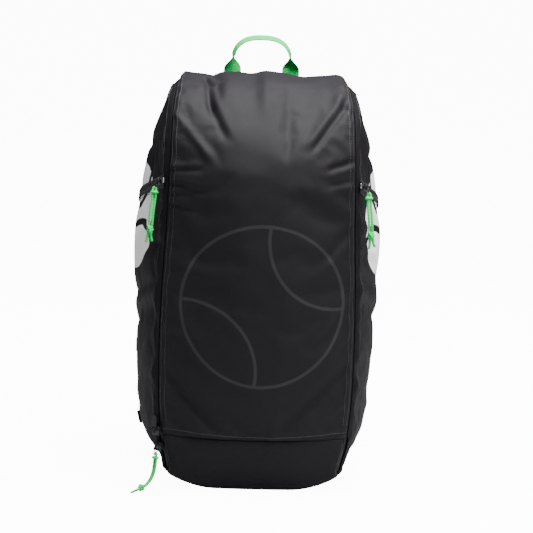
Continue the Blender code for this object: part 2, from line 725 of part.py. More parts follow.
def make_strap_foot(side, word):
    """Ladder lock at the strap's end, the webbing below it and the tab sewn to the bag."""
    x, y, z = LOCK_CENTRE
    width, height, thick = LOCK_SIZE
    edge = rounded_box_outline(-width / 2, width / 2, -height / 2, height / 2, 0.003)
    slots = [rounded_box_outline(-0.0128, 0.0128, low, low + 0.0035, 0.001, 2)
             for low in (-0.0070, 0.0035)]
    lock = flat_piece(f"ladder_lock_{word}", [edge, *slots], thick, "black_plastic",
                      xz_matrix(0))
    lock.location = (side * x, y, z)

    foot = Vector((side * STRAP_FOOT[0], STRAP_FOOT[1], STRAP_FOOT[2]))
    head = Vector((side * (x - 0.001), y - 0.001, z - height / 2 - 0.0008))
    up = (head - foot).normalized()
    back = Vector((0, 1, 0))
    back = (back - up * back.dot(up)).normalized()
    bpy.ops.mesh.primitive_cube_add(size=1)
    webbing = take("green_webbing", f"strap_webbing_{word}")
    length = (head - foot).length
    size = Matrix.Diagonal((STRAP_WEBBING[0], length, STRAP_WEBBING[1], 1))
    webbing.data.transform(Matrix.Translation((0, length / 2, 0)) @ size)
    webbing.matrix_world = frame_matrix(foot, up.cross(back), up, back)

    outline = [(side * 0.098, 0.0240), (side * 0.1450, 0.0300), (side * 0.1490, 0.0455),
               (side * 0.1200, 0.0560), (side * 0.0985, 0.0560)]
    flat_piece(f"strap_anchor_{word}", [outline], 0.002, "black_plastic",
               xz_matrix(PAD_FRONT + 0.001))


# ---------------------------------------------------------------- build

make_front_door()
make_front_zip()
make_base()
make_back()
make_back_pads()
make_racket_sleeve()
for SIDE, WORD in ((-1, "left"), (1, "right")):
    make_side_panel(SIDE, WORD)
    make_pocket_lining(SIDE, WORD)
    make_side_zip(SIDE, WORD)
    make_side_pull(SIDE, WORD)
    make_shoulder_strap(SIDE, WORD)
    make_strap_foot(SIDE, WORD)
make_front_pulls()
make_handle()
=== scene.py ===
"""Looks of the racket backpack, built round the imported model: sewn shell, zips, cords, webbing,
pads and straps, with their materials, a plain floor, soft light and the camera."""

import json
import math

import bmesh
import bpy
import numpy as np
from mathutils import Matrix, Vector, noise

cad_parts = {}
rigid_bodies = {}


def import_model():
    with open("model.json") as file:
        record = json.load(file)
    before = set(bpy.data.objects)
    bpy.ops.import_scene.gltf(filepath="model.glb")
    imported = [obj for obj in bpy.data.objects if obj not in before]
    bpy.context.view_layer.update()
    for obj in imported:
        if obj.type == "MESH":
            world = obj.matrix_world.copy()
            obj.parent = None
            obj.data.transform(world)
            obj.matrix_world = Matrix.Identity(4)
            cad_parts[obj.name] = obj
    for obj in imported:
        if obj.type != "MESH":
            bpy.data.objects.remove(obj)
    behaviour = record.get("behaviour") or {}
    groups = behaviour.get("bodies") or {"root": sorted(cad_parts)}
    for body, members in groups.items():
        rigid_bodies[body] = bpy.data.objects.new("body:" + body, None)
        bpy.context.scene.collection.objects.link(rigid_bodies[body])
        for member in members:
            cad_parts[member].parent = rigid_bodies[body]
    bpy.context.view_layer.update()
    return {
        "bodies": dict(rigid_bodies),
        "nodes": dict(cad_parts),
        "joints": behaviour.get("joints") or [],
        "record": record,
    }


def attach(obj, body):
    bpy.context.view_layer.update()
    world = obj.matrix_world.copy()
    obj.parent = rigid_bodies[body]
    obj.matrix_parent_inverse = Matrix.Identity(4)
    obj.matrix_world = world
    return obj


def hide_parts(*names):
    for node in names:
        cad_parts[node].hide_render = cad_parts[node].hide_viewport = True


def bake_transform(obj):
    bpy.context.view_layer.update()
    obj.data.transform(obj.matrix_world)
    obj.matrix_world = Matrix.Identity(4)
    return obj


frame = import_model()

# ---------------------------------------------------------------- the shell, as in the part

STATIONS = np.array([
    (-0.0830, 0.0060, 0.1045, -0.0910, 0.0060, 0.006, 0.0100),
    (-0.0850, 0.0350, 0.1078, -0.1030, 0.0350, 0.035, 0.0178),
    (-0.0855, 0.0700, 0.1135, -0.1095, 0.0700, 0.070, 0.0200),
    (-0.0828, 0.1150, 0.1175, -0.1140, 0.1150, 0.115, 0.0192),
    (-0.0802, 0.1800, 0.1186, -0.1170, 0.1800, 0.180, 0.0212),
    (-0.0804, 0.2500, 0.1170, -0.1180, 0.2500, 0.250, 0.0240),
    (-0.0814, 0.3200, 0.1138, -0.1155, 0.3200, 0.318, 0.0268),
    (-0.0810, 0.3850, 0.1120, -0.1080, 0.3850, 0.378, 0.0240),
    (-0.0710, 0.4300, 0.1108, -0.0920, 0.4330, 0.418, 0.0175),
    (-0.0500, 0.4630, 0.1095, -0.0650, 0.4670, 0.440, 0.0120),
    (-0.0180, 0.4840, 0.1075, -0.0280, 0.4890, 0.452, 0.0080),
    (0.0250, 0.4925, 0.1045, 0.0220, 0.4985, 0.460, 0.0040),
    (0.0650, 0.4910, 0.0985, 0.0660, 0.4965, 0.466, 0.0020),
    (0.0920, 0.4840, 0.0900, 0.0940, 0.4860, 0.470, 0.0010),
    (0.1030, 0.4770, 0.0740, 0.1035, 0.4775, 0.472, 0.0000),
])
LAST = len(STATIONS) - 1
CORNER_SPAN = 1.6
BACK_Y = 0.100
BACK_HALF_WIDTH = [(0.0, 0.098), (0.035, 0.112), (0.10, 0.122), (0.25, 0.128), (0.40, 0.117),
                   (0.45, 0.103), (0.472, 0.082)]
SIDE_SHAPE = [(0.0, 0.0), (0.30, 0.52), (0.62, 1.0), (0.84, 0.72), (1.0, 0.0)]
CROWN_POWER = 2.4
DOOR_SPLIT = 2.0


def through(knots, at):
    """Smooth values at places along (place, value) knots."""
    xs, ys = np.array(knots, float).T
    at = np.clip(np.asarray(at, float), xs[0], xs[-1])
    i = np.clip(np.searchsorted(xs, at, side="right") - 1, 0, len(xs) - 2)
    k = np.arange(len(xs))
    low, high = np.maximum(k - 1, 0), np.minimum(k + 1, len(xs) - 1)
    slope = (ys[high] - ys[low]) / (xs[high] - xs[low])
    run = xs[i + 1] - xs[i]
    t = (at - xs[i]) / run
    t2, t3 = t * t, t * t * t
    return (ys[i] * (2 * t3 - 3 * t2 + 1) + slope[i] * run * (t3 - 2 * t2 + t)
            + ys[i + 1] * (3 * t2 - 2 * t3) + slope[i + 1] * run * (t3 - t2))


def station(v):
    """Rows of the shell's seven values at places v."""
    v = np.clip(np.asarray(v, float), 0, LAST)
    i = np.minimum(v.astype(int), LAST - 1)
    a, b, c, d = (STATIONS[np.clip(i + k, 0, LAST)] for k in (-1, 0, 1, 2))
    t = (v - i)[..., None]
    t2, t3 = t * t, t * t * t
    return (b * (2 * t3 - 3 * t2 + 1) + (c - a) / 2 * (t3 - 2 * t2 + t)
            + c * (3 * t2 - 2 * t3) + (d - b) / 2 * (t3 - t2))


def unit(a):
    return a / np.maximum(np.linalg.norm(a, axis=-1, keepdims=True), 1e-12)


def ease(low, high, value):
    t = np.clip((value - low) / (high - low), 0, 1)
    return t * t * (3 - 2 * t)


def seam_normal(v):
    a, b = station(np.maximum(v - 0.05, 0)), station(np.minimum(v + 0.05, LAST))
    run = unit(np.stack([np.zeros_like(v), b[..., 0] - a[..., 0], b[..., 1] - a[..., 1]], -1))
    return np.stack([np.zeros_like(v), -run[..., 2], run[..., 1]], -1)


def corner_turn(v):
    return ease(LAST - CORNER_SPAN, LAST, v)


def zip_frame(side, v):
    """Centres of the zip, its directions across towards the side panel, and its outward ones."""
    v = np.asarray(v, float)
    values = station(v)
    out = seam_normal(v)
    sideways = np.zeros_like(out)
    sideways[..., 0] = side
    centre = np.stack([side * values[..., 2], values[..., 0], values[..., 1]], -1)
    turn = corner_turn(v)[..., None]
    end_out = unit(seam_normal(np.full_like(v, LAST)) + np.array([0, 1.0, 0]))
    end_across = np.stack([np.zeros_like(v), end_out[..., 2], -end_out[..., 1]], -1)
    across = unit(unit(sideways - out) * (1 - turn) + end_across * turn)
    outward = unit(unit(sideways + out) * (1 - turn) + end_out * turn)
    return centre, across, outward


def side_surface(side, v, t, start):
    """Points on a side panel: t is 0 at the zip and 1 at the back seam."""
    centre, across, _ = zip_frame(side, v)
    values = station(v)
    near = centre + across * start
    back_z, bulge = values[..., 5], values[..., 6]
    far = np.stack([side * through(BACK_HALF_WIDTH, back_z), np.full_like(back_z, BACK_Y),
                    back_z], -1)
    point = near + (far - near) * t[..., None]
    point[..., 0] += side * bulge * through(SIDE_SHAPE, t)
    return point


def door_surface(v, u, start):
    """Points on the front door: u runs from -1 at the left zip to 1 at the right zip."""
    values = station(v)
    centre, across, _ = zip_frame(1, v)
    edge = centre - across * start[..., None] if np.ndim(start) else centre - across * start
    rise = 1 - np.abs(u) ** CROWN_POWER
    return np.stack([edge[..., 0] * u, edge[..., 1] + (values[..., 3] - edge[..., 1]) * rise,
                     edge[..., 2] + (values[..., 4] - edge[..., 2]) * rise], -1)


# ---------------------------------------------------------------- meshes


def link(item):
    bpy.context.scene.collection.objects.link(item)
    return item


def mesh_object(name, points, faces, uvs=None, smooth=True):
    mesh = bpy.data.meshes.new(name)
    mesh.from_pydata(np.asarray(points, float).reshape(-1, 3).tolist(), [], faces)
    if uvs is not None:
        layer = mesh.uv_layers.new(name="cloth")
        corner = np.empty(len(mesh.loops), int)
        mesh.loops.foreach_get("vertex_index", corner)
        layer.data.foreach_set("uv", np.asarray(uvs, np.float32).reshape(-1, 2)[corner].ravel())
    if smooth:
        mesh.shade_smooth()
    return link(bpy.data.objects.new(name, mesh))


def grid_faces(rows, cols, flip=False, wrap=False):
    faces = []
    for i in range(rows - 1):
        for j in range(cols if wrap else cols - 1):
            k = (j + 1) % cols
            face = (i * cols + j, i * cols + k, (i + 1) * cols + k, (i + 1) * cols + j)
            faces.append(face[::-1] if flip else face)
    return faces


def grid_normals(points):
    """Unit normals of a grid of points, by rows crossed with columns."""
    return unit(np.cross(np.gradient(points, axis=1), np.gradient(points, axis=0)))


def grid_metres(points):
    """Cloth coordinates of a grid in metres: run along the rows and up the columns."""
    def along(axis):
        steps = np.linalg.norm(np.diff(points, axis=axis), axis=-1)
        zero = np.zeros_like(np.take(steps, [0], axis=axis))
        return np.cumsum(np.concatenate([zero, steps], axis=axis), axis=axis)
    run = along(1)
    middle = run.shape[1] // 2
    run = run - run[:, middle:middle + 1]
    return np.stack([run, along(0)], -1)


def thicken(item, thickness, inner=None, offset=-1):
    """Give a sheet its thickness, with the second material inside, and keep it as mesh."""
    modifier = item.modifiers.new("thickness", "SOLIDIFY")
    modifier.thickness = thickness
    modifier.offset = offset
    modifier.use_even_offset = False
    if inner:
        item.data.materials.append(inner)
        modifier.material_offset = 1
        modifier.material_offset_rim = 0
    return item


def smooth_path(points, count):
    """Evenly placed points along the smooth curve through the given ones."""
    points = np.array(points, float)
    ends = np.vstack([2 * points[0] - points[1], points, 2 * points[-1] - points[-2]])
    fine = []
    for i in range(len(points) - 1):
        a, b, c, d = ends[i:i + 4]
        for t in np.arange(16) / 16:
            fine.append(b * (2 * t ** 3 - 3 * t ** 2 + 1) + (c - a) / 2 * (t ** 3 - 2 * t ** 2 + t)
                        + c * (3 * t ** 2 - 2 * t ** 3) + (d - b) / 2 * (t ** 3 - t ** 2))
    fine.append(points[-1])
    fine = np.array(fine)
    length = np.concatenate([[0], np.cumsum(np.linalg.norm(np.diff(fine, axis=0), axis=1))])
    want = np.linspace(0, length[-1], count)
    return np.stack([np.interp(want, length, fine[:, k]) for k in range(3)], -1)


def sweep(name, path, width_dirs, section, closed=True, caps=True):
    """Solid swept along a path. section holds (across, up) pairs in metres, in order round;
    width_dirs are the across directions at each point."""
    path = np.asarray(path, float)
    run = unit(np.gradient(path, axis=0))
    across = unit(width_dirs - run * np.sum(width_dirs * run, -1, keepdims=True))
    up = np.cross(run, across)
    section = np.asarray(section, float)
    if section.ndim == 2:
        section = np.repeat(section[None], len(path), axis=0)
    points = (path[:, None] + across[:, None] * section[..., :1] + up[:, None] * section[..., 1:])
    rows, cols = points.shape[:2]
    faces = grid_faces(rows, cols, wrap=closed)
    if closed and caps:
        faces += [tuple(range(cols))[::-1], tuple(range((rows - 1) * cols, rows * cols))]
    length = np.concatenate([[0], np.cumsum(np.linalg.norm(np.diff(path, axis=0), axis=1))])
    uvs = np.stack([np.broadcast_to(section[..., 0], (rows, cols)),
                    np.repeat(length[:, None], cols, axis=1)], -1)
    item = mesh_object(name, points, faces, uvs)
    fix_normals(item)
    return item


def fix_normals(item):
    work = bmesh.new()
    work.from_mesh(item.data)
    bmesh.ops.recalc_face_normals(work, faces=work.faces)
    work.to_mesh(item.data)
    work.free()


def webbing_section(width, thick):
    """Flat strap section with round edges."""
    half, r = width / 2, thick / 2
    points = []
    for k in range(5):
        a = math.radians(-90 + 180 * k / 4)
        points.append((half - r + r * math.cos(a), r * math.sin(a)))
    for x in np.linspace(half - r, -half + r, 9)[1:-1]:
        points.append((x, r))
    for k in range(5):
        a = math.radians(90 + 180 * k / 4)
        points.append((-half + r + r * math.cos(a), r * math.sin(a)))
    for x in np.linspace(-half + r, half - r, 9)[1:-1]:
        points.append((x, -r))
    return points


def round_section(radius, sides=12):
    angles = np.arange(sides) * 2 * math.pi / sides
    return np.stack([radius * np.cos(angles), radius * np.sin(angles)], -1)


def round_tube(name, path, radius, sides=12):
    path = np.asarray(path, float)
    run = unit(np.gradient(path, axis=0))
    side = np.cross(run[0], [0.3, 0.2, 1.0])
    sides_out = []
    for r in run:
        side = unit(side - r * np.dot(side, r))
        sides_out.append(side)
    return sweep(name, path, np.array(sides_out), round_section(radius, sides))


def scatter(name, shape, faces, places, frames):
    """One mesh of many copies of a small closed shape, at places with 3x3 frames."""
    shape = np.asarray(shape, float)
    points = np.einsum("nk,mkj->mnj", shape, frames) + places[:, None]
    count = len(shape)
    all_faces = [tuple(i * count + f for f in face) for i in range(len(places)) for face in faces]
    item = mesh_object(name, points, all_faces)
    fix_normals(item)
    return item


def rounded_brick(size):
    """Small box with cut edges: its corners and faces."""
    work = bmesh.new()
    bmesh.ops.create_cube(work, size=1)
    for vert in work.verts:
        vert.co = Vector(c * s for c, s in zip(vert.co, size))
    bmesh.ops.bevel(work, geom=work.edges[:], offset=min(size) * 0.22, segments=1,
                    affect="EDGES")
    work.verts.index_update()
    points = [tuple(v.co) for v in work.verts]
    faces = [tuple(v.index for v in f.verts) for f in work.faces]
    work.free()
    return points, faces

# ---------------------------------------------------------------- materials


class Shader:
    """Small helper that builds a Principled material node by node."""

    def __init__(self, name):
        self.material = bpy.data.materials.new(name)
        self.material.use_nodes = True
        self.tree = self.material.node_tree
        self.main = self.tree.nodes["Principled BSDF"]

    def node(self, kind, **settings):
        node = self.tree.nodes.new("ShaderNode" + kind)
        inputs = settings.pop("inputs", {})
        for key, value in settings.items():
            setattr(node, key, value)
        for key, value in inputs.items():
            self.feed(node.inputs[key], value)
        return node

    def feed(self, socket, value):
        if isinstance(value, bpy.types.NodeSocket):
            self.tree.links.new(value, socket)
        else:
            socket.default_value = value

    def math(self, operation, a, b=0.0, clamp=False):
        node = self.node("Math", operation=operation, use_clamp=clamp)
        self.feed(node.inputs[0], a)
        self.feed(node.inputs[1], b)
        return node.outputs[0]

    def mix(self, share, a, b):
        node = self.node("Mix", data_type="RGBA")
        self.feed(node.inputs["Factor"], share)
        self.feed(node.inputs["A"], a if isinstance(a, bpy.types.NodeSocket) else (*a, 1))
        self.feed(node.inputs["B"], b if isinstance(b, bpy.types.NodeSocket) else (*b, 1))
        return node.outputs["Result"]

    def where(self, source="Object", scale=(1, 1, 1)):
        """Coordinates in metres: the frame's own, or the cloth's run and length."""
        if source == "cloth":
            place = self.node("UVMap", uv_map="cloth").outputs[0]
        else:
            place = self.node("TexCoord").outputs[source]
        return self.node("Mapping", inputs={"Vector": place, "Scale": scale}).outputs[0]

    def noise(self, place, scale, detail=3.0, rough=0.5):
        node = self.node("TexNoise", inputs={"Vector": place, "Scale": scale, "Detail": detail,
                                             "Roughness": rough})
        return node.outputs["Fac"]

    def wave(self, place, scale, direction="X", distortion=0.0):
        node = self.node("TexWave", bands_direction=direction,
                         inputs={"Vector": place, "Scale": scale, "Distortion": distortion,
                                 "Detail": 1.0, "Detail Scale": 2.0})
        return node.outputs["Fac"]

    def bump(self, height, strength, distance, under=None):
        node = self.node("Bump", inputs={"Height": height, "Strength": strength,
                                         "Distance": distance})
        if under is not None:
            self.feed(node.inputs["Normal"], under)
        return node.outputs[0]

    def finish(self, **inputs):
        for key, value in inputs.items():
            self.feed(self.main.inputs[key.replace("_", " ")], value)
        return self.material


WAVE_PER_METRE = 2 * math.pi / 20      # Blender's wave bands: scale for one band a metre


def weave(shader, place, pitch):
    """Plain weave: threads over and under in both directions, one thread each pitch metres."""
    scale = WAVE_PER_METRE / pitch
    warp = shader.wave(place, scale, "X")
    weft = shader.wave(place, scale, "Y")
    checker = shader.node("TexChecker", inputs={"Vector": place, "Scale": 1 / pitch,
                                                "Color1": (1, 1, 1, 1),
                                                "Color2": (0, 0, 0, 1)}).outputs["Fac"]
    over = shader.math("MULTIPLY", warp, checker)
    under = shader.math("MULTIPLY", weft, shader.math("SUBTRACT", 1.0, checker))
    return shader.math("ADD", over, under)


def black_fabric(name="shell_cloth", emblem=None, dark=(0.0058, 0.0051, 0.0067),
                 light=(0.0086, 0.0076, 0.0096), source="cloth", gloss=0.13):
    """Smooth semi-matt polyester with a fine weave and faint, broad changes of tone."""
    s = Shader(name)
    place = s.where(source)
    tone = s.noise(s.where("Object"), 14, 4, 0.6)
    colour = s.mix(tone, dark, light)
    rough = s.math("ADD", s.math("MULTIPLY", tone, 0.12), 0.60)
    if emblem:
        colour, rough = emblem(s, colour, rough)
    fine = weave(s, place, 0.00042)
    slub = s.noise(s.where(source, (600, 60, 1)), 1.0, 2)
    normal = s.bump(s.noise(s.where("Object"), 90, 3, 0.55), 0.25, 0.0006)
    normal = s.bump(s.math("ADD", fine, s.math("MULTIPLY", slub, 0.5)), 0.35, 0.00008, normal)
    return s.finish(Base_Color=colour, Roughness=rough, Normal=normal, Specular_IOR_Level=gloss)


def line_mask(s, distance, width, soft=0.0004):
    """1 within half a width of where a distance is nought, 0 outside."""
    off = s.math("ABSOLUTE", distance)
    return s.math("DIVIDE", s.math("SUBTRACT", width / 2 + soft, off), 2 * soft, clamp=True)


def circle_distance(s, x, y, centre, radius):
    dx, dy = s.math("SUBTRACT", x, centre[0]), s.math("SUBTRACT", y, centre[1])
    square = s.math("ADD", s.math("MULTIPLY", dx, dx), s.math("MULTIPLY", dy, dy))
    return s.math("SUBTRACT", s.math("SQRT", square), radius)


BALL_CENTRE, BALL_RADIUS = (0.004, 0.238), 0.098
BALL_LINE = 0.0040


def tonal_ball(s, colour, rough):
    """A plain ball outline with two seam curves, printed in a slightly lighter tone."""
    axes = s.node("SeparateXYZ", inputs={"Vector": s.where("Object")})
    x, z = axes.outputs["X"], axes.outputs["Z"]
    disc = circle_distance(s, x, z, BALL_CENTRE, BALL_RADIUS)
    inside = s.math("LESS_THAN", disc, 0.0)
    mask = line_mask(s, disc, BALL_LINE)
    for sign in (-1, 1):
        centre = (BALL_CENTRE[0] + sign * 0.092, BALL_CENTRE[1] + sign * 0.082)
        seam = line_mask(s, circle_distance(s, x, z, centre, 0.086), BALL_LINE)
        mask = s.math("MAXIMUM", mask, s.math("MULTIPLY", seam, inside))
    colour = s.mix(mask, colour, (0.020, 0.020, 0.022))
    rough = s.math("ADD", rough, s.math("MULTIPLY", mask, -0.10))
    return colour, rough


SIDE_BALL, SIDE_BALL_RADIUS = (0.022, 0.322), 0.066


def white_ball(s, colour, rough):
    """A solid white ball with two dark seam curves, printed on each side panel."""
    axes = s.node("SeparateXYZ", inputs={"Vector": s.where("Object")})
    y, z = axes.outputs["Y"], axes.outputs["Z"]
    disc = circle_distance(s, y, z, SIDE_BALL, SIDE_BALL_RADIUS)
    mask = s.math("DIVIDE", s.math("SUBTRACT", 0.0004, disc), 0.0008, clamp=True)
    for sign in (-1, 1):
        centre = (SIDE_BALL[0] + sign * 0.030, SIDE_BALL[1] + sign * 0.068)
        seam = line_mask(s, circle_distance(s, y, z, centre, 0.064), 0.0085)
        mask = s.math("MULTIPLY", mask, s.math("SUBTRACT", 1.0, seam))
    fresh = s.noise(s.where("Object"), 120, 3)
    print_white = s.mix(fresh, (0.80, 0.80, 0.80), (0.88, 0.88, 0.88))
    colour = s.mix(mask, colour, print_white)
    return colour, s.math("ADD", rough, s.math("MULTIPLY", mask, -0.12))


def mesh_fabric(name="spacer_mesh", colour=(0.010, 0.010, 0.011)):
    """Knitted spacer mesh: rows of small round holes over foam, painted near-black inside as shade."""
    s = Shader(name)
    place = s.where("cloth")
    cells = s.node("TexVoronoi", feature="F1",
                   inputs={"Vector": place, "Scale": 420.0, "Randomness": 0.12})
    holes = s.math("DIVIDE", s.math("SUBTRACT", cells.outputs["Distance"], 0.22), 0.25,
                   clamp=True)
    tone = s.noise(s.where("Object"), 30, 3)
    base = s.mix(tone, colour, tuple(c * 1.7 for c in colour))
    # the holes take a near-black colour: painted shade inside them, over the random tone of the knit
    shade = s.mix(holes, (0.002, 0.002, 0.002), base)
    normal = s.bump(s.noise(s.where("Object"), 140, 2), 0.2, 0.0008)
    normal = s.bump(holes, 0.7, 0.0005, normal)
    return s.finish(Base_Color=shade, Roughness=0.85, Normal=normal, Sheen_Weight=0.15,
                    Sheen_Roughness=0.5)


def lining(name="lining_cloth", colour=(0.030, 0.031, 0.034)):
    """Matt taffeta lining."""
    s = Shader(name)
    place = s.where("cloth")
    fine = weave(s, place, 0.0006)
    tone = s.noise(s.where("Object"), 20, 4)
    base = s.mix(tone, colour, tuple(c * 1.35 for c in colour))
    normal = s.bump(s.noise(s.where("Object"), 60, 3), 0.3, 0.0010)
    normal = s.bump(fine, 0.3, 0.00010, normal)
    return s.finish(Base_Color=base, Roughness=0.72, Normal=normal)


def webbing(name, deep, bright):
    """Woven webbing: ribs along its length crossed by a tight weft, with painted shade between the
    ribs.
    """
    s = Shader(name)
    place = s.where("cloth")
    ribs = s.wave(place, WAVE_PER_METRE / 0.0016, "X")
    weft = s.wave(place, WAVE_PER_METRE / 0.0011, "Y", 0.4)
    height = s.math("ADD", ribs, s.math("MULTIPLY", weft, 0.8))
    tone = s.noise(place, 700, 2)
    # colour follows the weave's height: lighter on the ribs' tops, darker between them as painted
    # shade, with random tone mixed in
    shade = s.math("ADD", s.math("MULTIPLY", height, 0.40), s.math("MULTIPLY", tone, 0.25))
    return s.finish(Base_Color=s.mix(shade, deep, bright), Roughness=0.65,
                    Normal=s.bump(height, 0.6, 0.00025), Specular_IOR_Level=0.2)


def braid(name, deep, bright):
    """Braided cord cover: two sets of strands that cross on a slant, with painted shade between the
    strands.
    """
    s = Shader(name)
    place = s.where("cloth")
    one = s.node("TexWave", bands_direction="DIAGONAL",
                 inputs={"Vector": place, "Scale": WAVE_PER_METRE / 0.0011 * 0.6})
    flipped = s.where("cloth", (-1, 1, 1))
    two = s.node("TexWave", bands_direction="DIAGONAL",
                 inputs={"Vector": flipped, "Scale": WAVE_PER_METRE / 0.0011 * 0.6})
    height = s.math("MAXIMUM", one.outputs["Fac"], two.outputs["Fac"])
    tone = s.noise(s.where("Object"), 900, 2)
    # colour follows the strands' height: lighter on their tops, darker between them as painted shade,
    # with random tone mixed in
    shade = s.math("ADD", s.math("MULTIPLY", height, 0.5), s.math("MULTIPLY", tone, 0.3))
    return s.finish(Base_Color=s.mix(shade, deep, bright), Roughness=0.6,
                    Normal=s.bump(height, 0.5, 0.0003), Specular_IOR_Level=0.2)


def plastic(name, colour, rough=0.42):
    """Moulded plastic with a fine spark grain."""
    s = Shader(name)
    grain = s.noise(s.where("Object"), 2600, 2)
    tone = s.noise(s.where("Object"), 45, 3)
    return s.finish(Base_Color=s.mix(tone, colour, tuple(c * 1.4 for c in colour)),
                    Roughness=s.math("ADD", s.math("MULTIPLY", tone, 0.15), rough - 0.07),
                    Normal=s.bump(grain, 0.25, 0.0001), Specular_IOR_Level=0.25)


def metal(name, colour, rough):
    """Plated zinc with faint scratches."""
    s = Shader(name)
    scratch = s.noise(s.where("Object", (1, 1, 9)), 900, 3)
    tone = s.noise(s.where("Object"), 300, 2)
    return s.finish(Base_Color=s.mix(tone, colour, tuple(min(c * 1.3, 1) for c in colour)),
                    Roughness=s.math("ADD", s.math("MULTIPLY", scratch, 0.2), rough - 0.1),
                    Metallic=1.0, Normal=s.bump(scratch, 0.12, 0.0001))


def thread(name, colour):
    """Twisted sewing thread."""
    s = Shader(name)
    twist = s.noise(s.where("Object"), 2500, 1)
    return s.finish(Base_Color=s.mix(twist, colour, tuple(c * 2 for c in colour)),
                    Roughness=0.6, Normal=s.bump(twist, 0.4, 0.0001))


CLOTH = black_fabric()
CLOTH_FRONT = black_fabric("front_cloth", tonal_ball)
CLOTH_SIDE = black_fabric("side_cloth", white_ball, gloss=0.065)
SPACER = mesh_fabric()
LINING = lining()
# in each pair of webbing and braid colours, the first is painted shade between the ribs or strands and
# the second the colour on their tops
GREEN_WEBBING = webbing("green_webbing", (0.0, 0.180, 0.035), (0.0, 0.680, 0.115))
GREEN_CORD = braid("green_braid", (0.0, 0.230, 0.040), (0.0, 0.780, 0.130))
BLACK_WEBBING = webbing("black_webbing", (0.003, 0.003, 0.004), (0.013, 0.013, 0.014))
ACETAL = plastic("black_acetal", (0.0045, 0.0045, 0.0050), 0.5)
COIL = plastic("coil_nylon", (0.010, 0.010, 0.011), 0.34)
BOARD = plastic("pe_board", (0.05, 0.05, 0.052), 0.6)
NICKEL = metal("black_nickel", (0.030, 0.030, 0.033), 0.42)
STEEL = metal("bright_steel", (0.42, 0.43, 0.45), 0.36)
THREAD = thread("black_thread", (0.0060, 0.0060, 0.0070))


def dress(item, material, body, slot, *nodes):
    """Give a piece its material and the body it rides on, and hide the nodes it stands for; slot is
    not used.
    """
    item.data.materials.clear()
    item.data.materials.append(material)
    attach(item, body)
    if nodes:
        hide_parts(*nodes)
    return item


# ---------------------------------------------------------------- camera, floor and light

AIM = Vector((0.0, 0.0, 0.2455))
CAMERA_DISTANCE, CAMERA_AZIMUTH, CAMERA_ELEVATION, CAMERA_ROLL = 2.6, -2.0, 11.0, 2.0
FRAMING = (0.0119, 0.0188)             # the view's centre, right of and above the aim
FIELD_WIDTH, SENSOR = 0.665, 36.0


def make_camera():
    azimuth, elevation = math.radians(CAMERA_AZIMUTH), math.radians(CAMERA_ELEVATION)
    away = Vector((math.sin(azimuth) * math.cos(elevation),
                   -math.cos(azimuth) * math.cos(elevation), math.sin(elevation)))
    turn = (-away).to_track_quat("-Z", "Y").to_matrix()
    turn = turn @ Matrix.Rotation(math.radians(CAMERA_ROLL), 3, "Z")
    camera = bpy.data.cameras.new("camera")
    camera.sensor_width = SENSOR
    camera.lens = SENSOR * CAMERA_DISTANCE / FIELD_WIDTH
    item = link(bpy.data.objects.new("camera", camera))
    place = AIM + away * CAMERA_DISTANCE + turn @ Vector((*FRAMING, 0))
    item.matrix_world = Matrix.Translation(place) @ turn.to_4x4()
    bpy.context.scene.camera = item


WORLD_LIGHT = 0.17
FLOOR_GLOW = 12.0                      # the white studio floor, bright in the picture only


def make_floor():
    size = 16.0
    floor = mesh_object("floor", [(-size, -size, 0), (size, -size, 0), (size, size, 0),
                                  (-size, size, 0)], [(0, 1, 2, 3)], smooth=False)
    s = Shader("pale_floor")
    seen = s.node("LightPath").outputs["Is Camera Ray"]
    floor.data.materials.append(s.finish(
        Base_Color=(0.50, 0.50, 0.51, 1), Roughness=0.9, Specular_IOR_Level=0.1,
        Emission_Color=(1, 1, 1, 1), Emission_Strength=s.math("MULTIPLY", seen, FLOOR_GLOW)))


def add_area(name, place, aim, size, power, colour=(1, 1, 1)):
    lamp = bpy.data.lights.new(name, "AREA")
    lamp.shape = "RECTANGLE"
    lamp.size, lamp.size_y = size
    lamp.energy = power
    lamp.color = colour
    item = link(bpy.data.objects.new(name, lamp))
    item.location = place
    item.rotation_euler = (Vector(aim) - Vector(place)).to_track_quat("-Z", "Y").to_euler()


def make_light():
    world = bpy.data.worlds.new("studio")
    world.use_nodes = True
    back = world.node_tree.nodes["Background"]
    back.inputs["Color"].default_value = (1.0, 1.0, 1.0, 1)
    tree = world.node_tree
    seen = tree.nodes.new("ShaderNodeLightPath").outputs["Is Camera Ray"]
    brighter = tree.nodes.new("ShaderNodeMath")
    brighter.operation = "MULTIPLY_ADD"
    tree.links.new(seen, brighter.inputs[0])
    brighter.inputs[1].default_value = FLOOR_GLOW
    brighter.inputs[2].default_value = WORLD_LIGHT
    tree.links.new(brighter.outputs[0], back.inputs["Strength"])
    bpy.context.scene.world = world
    add_area("key", (1.1, -1.0, 1.8), (0, 0, 0.40), (1.0, 0.8), 46)
    add_area("top", (0.20, -0.12, 1.8), (0, 0, 0.45), (1.2, 0.9), 118)


make_camera()
make_floor()
make_light()

# ---------------------------------------------------------------- cords

CORD_R = 0.0015
STRAND_GAP, KNOT_HALF, KNOT_GAP, TAIL = 0.0036, 0.0058, 0.0010, 0.012
SIDE_CORD_ROUTE = [(0.1288, -0.0775, 0.3700), (0.1293, -0.0790, 0.3610), (0.1306, -0.0805, 0.3500),
                   (0.1317, -0.0815, 0.3390), (0.1325, -0.0820, 0.3290)]
LOWER_CORD_ROUTE = [(-0.1195, -0.0905, 0.0440), (-0.1201, -0.0925, 0.0330),
                    (-0.1219, -0.0945, 0.0220), (-0.1263, -0.0975, 0.0125),
                    (-0.1313, -0.1015, 0.0078)]


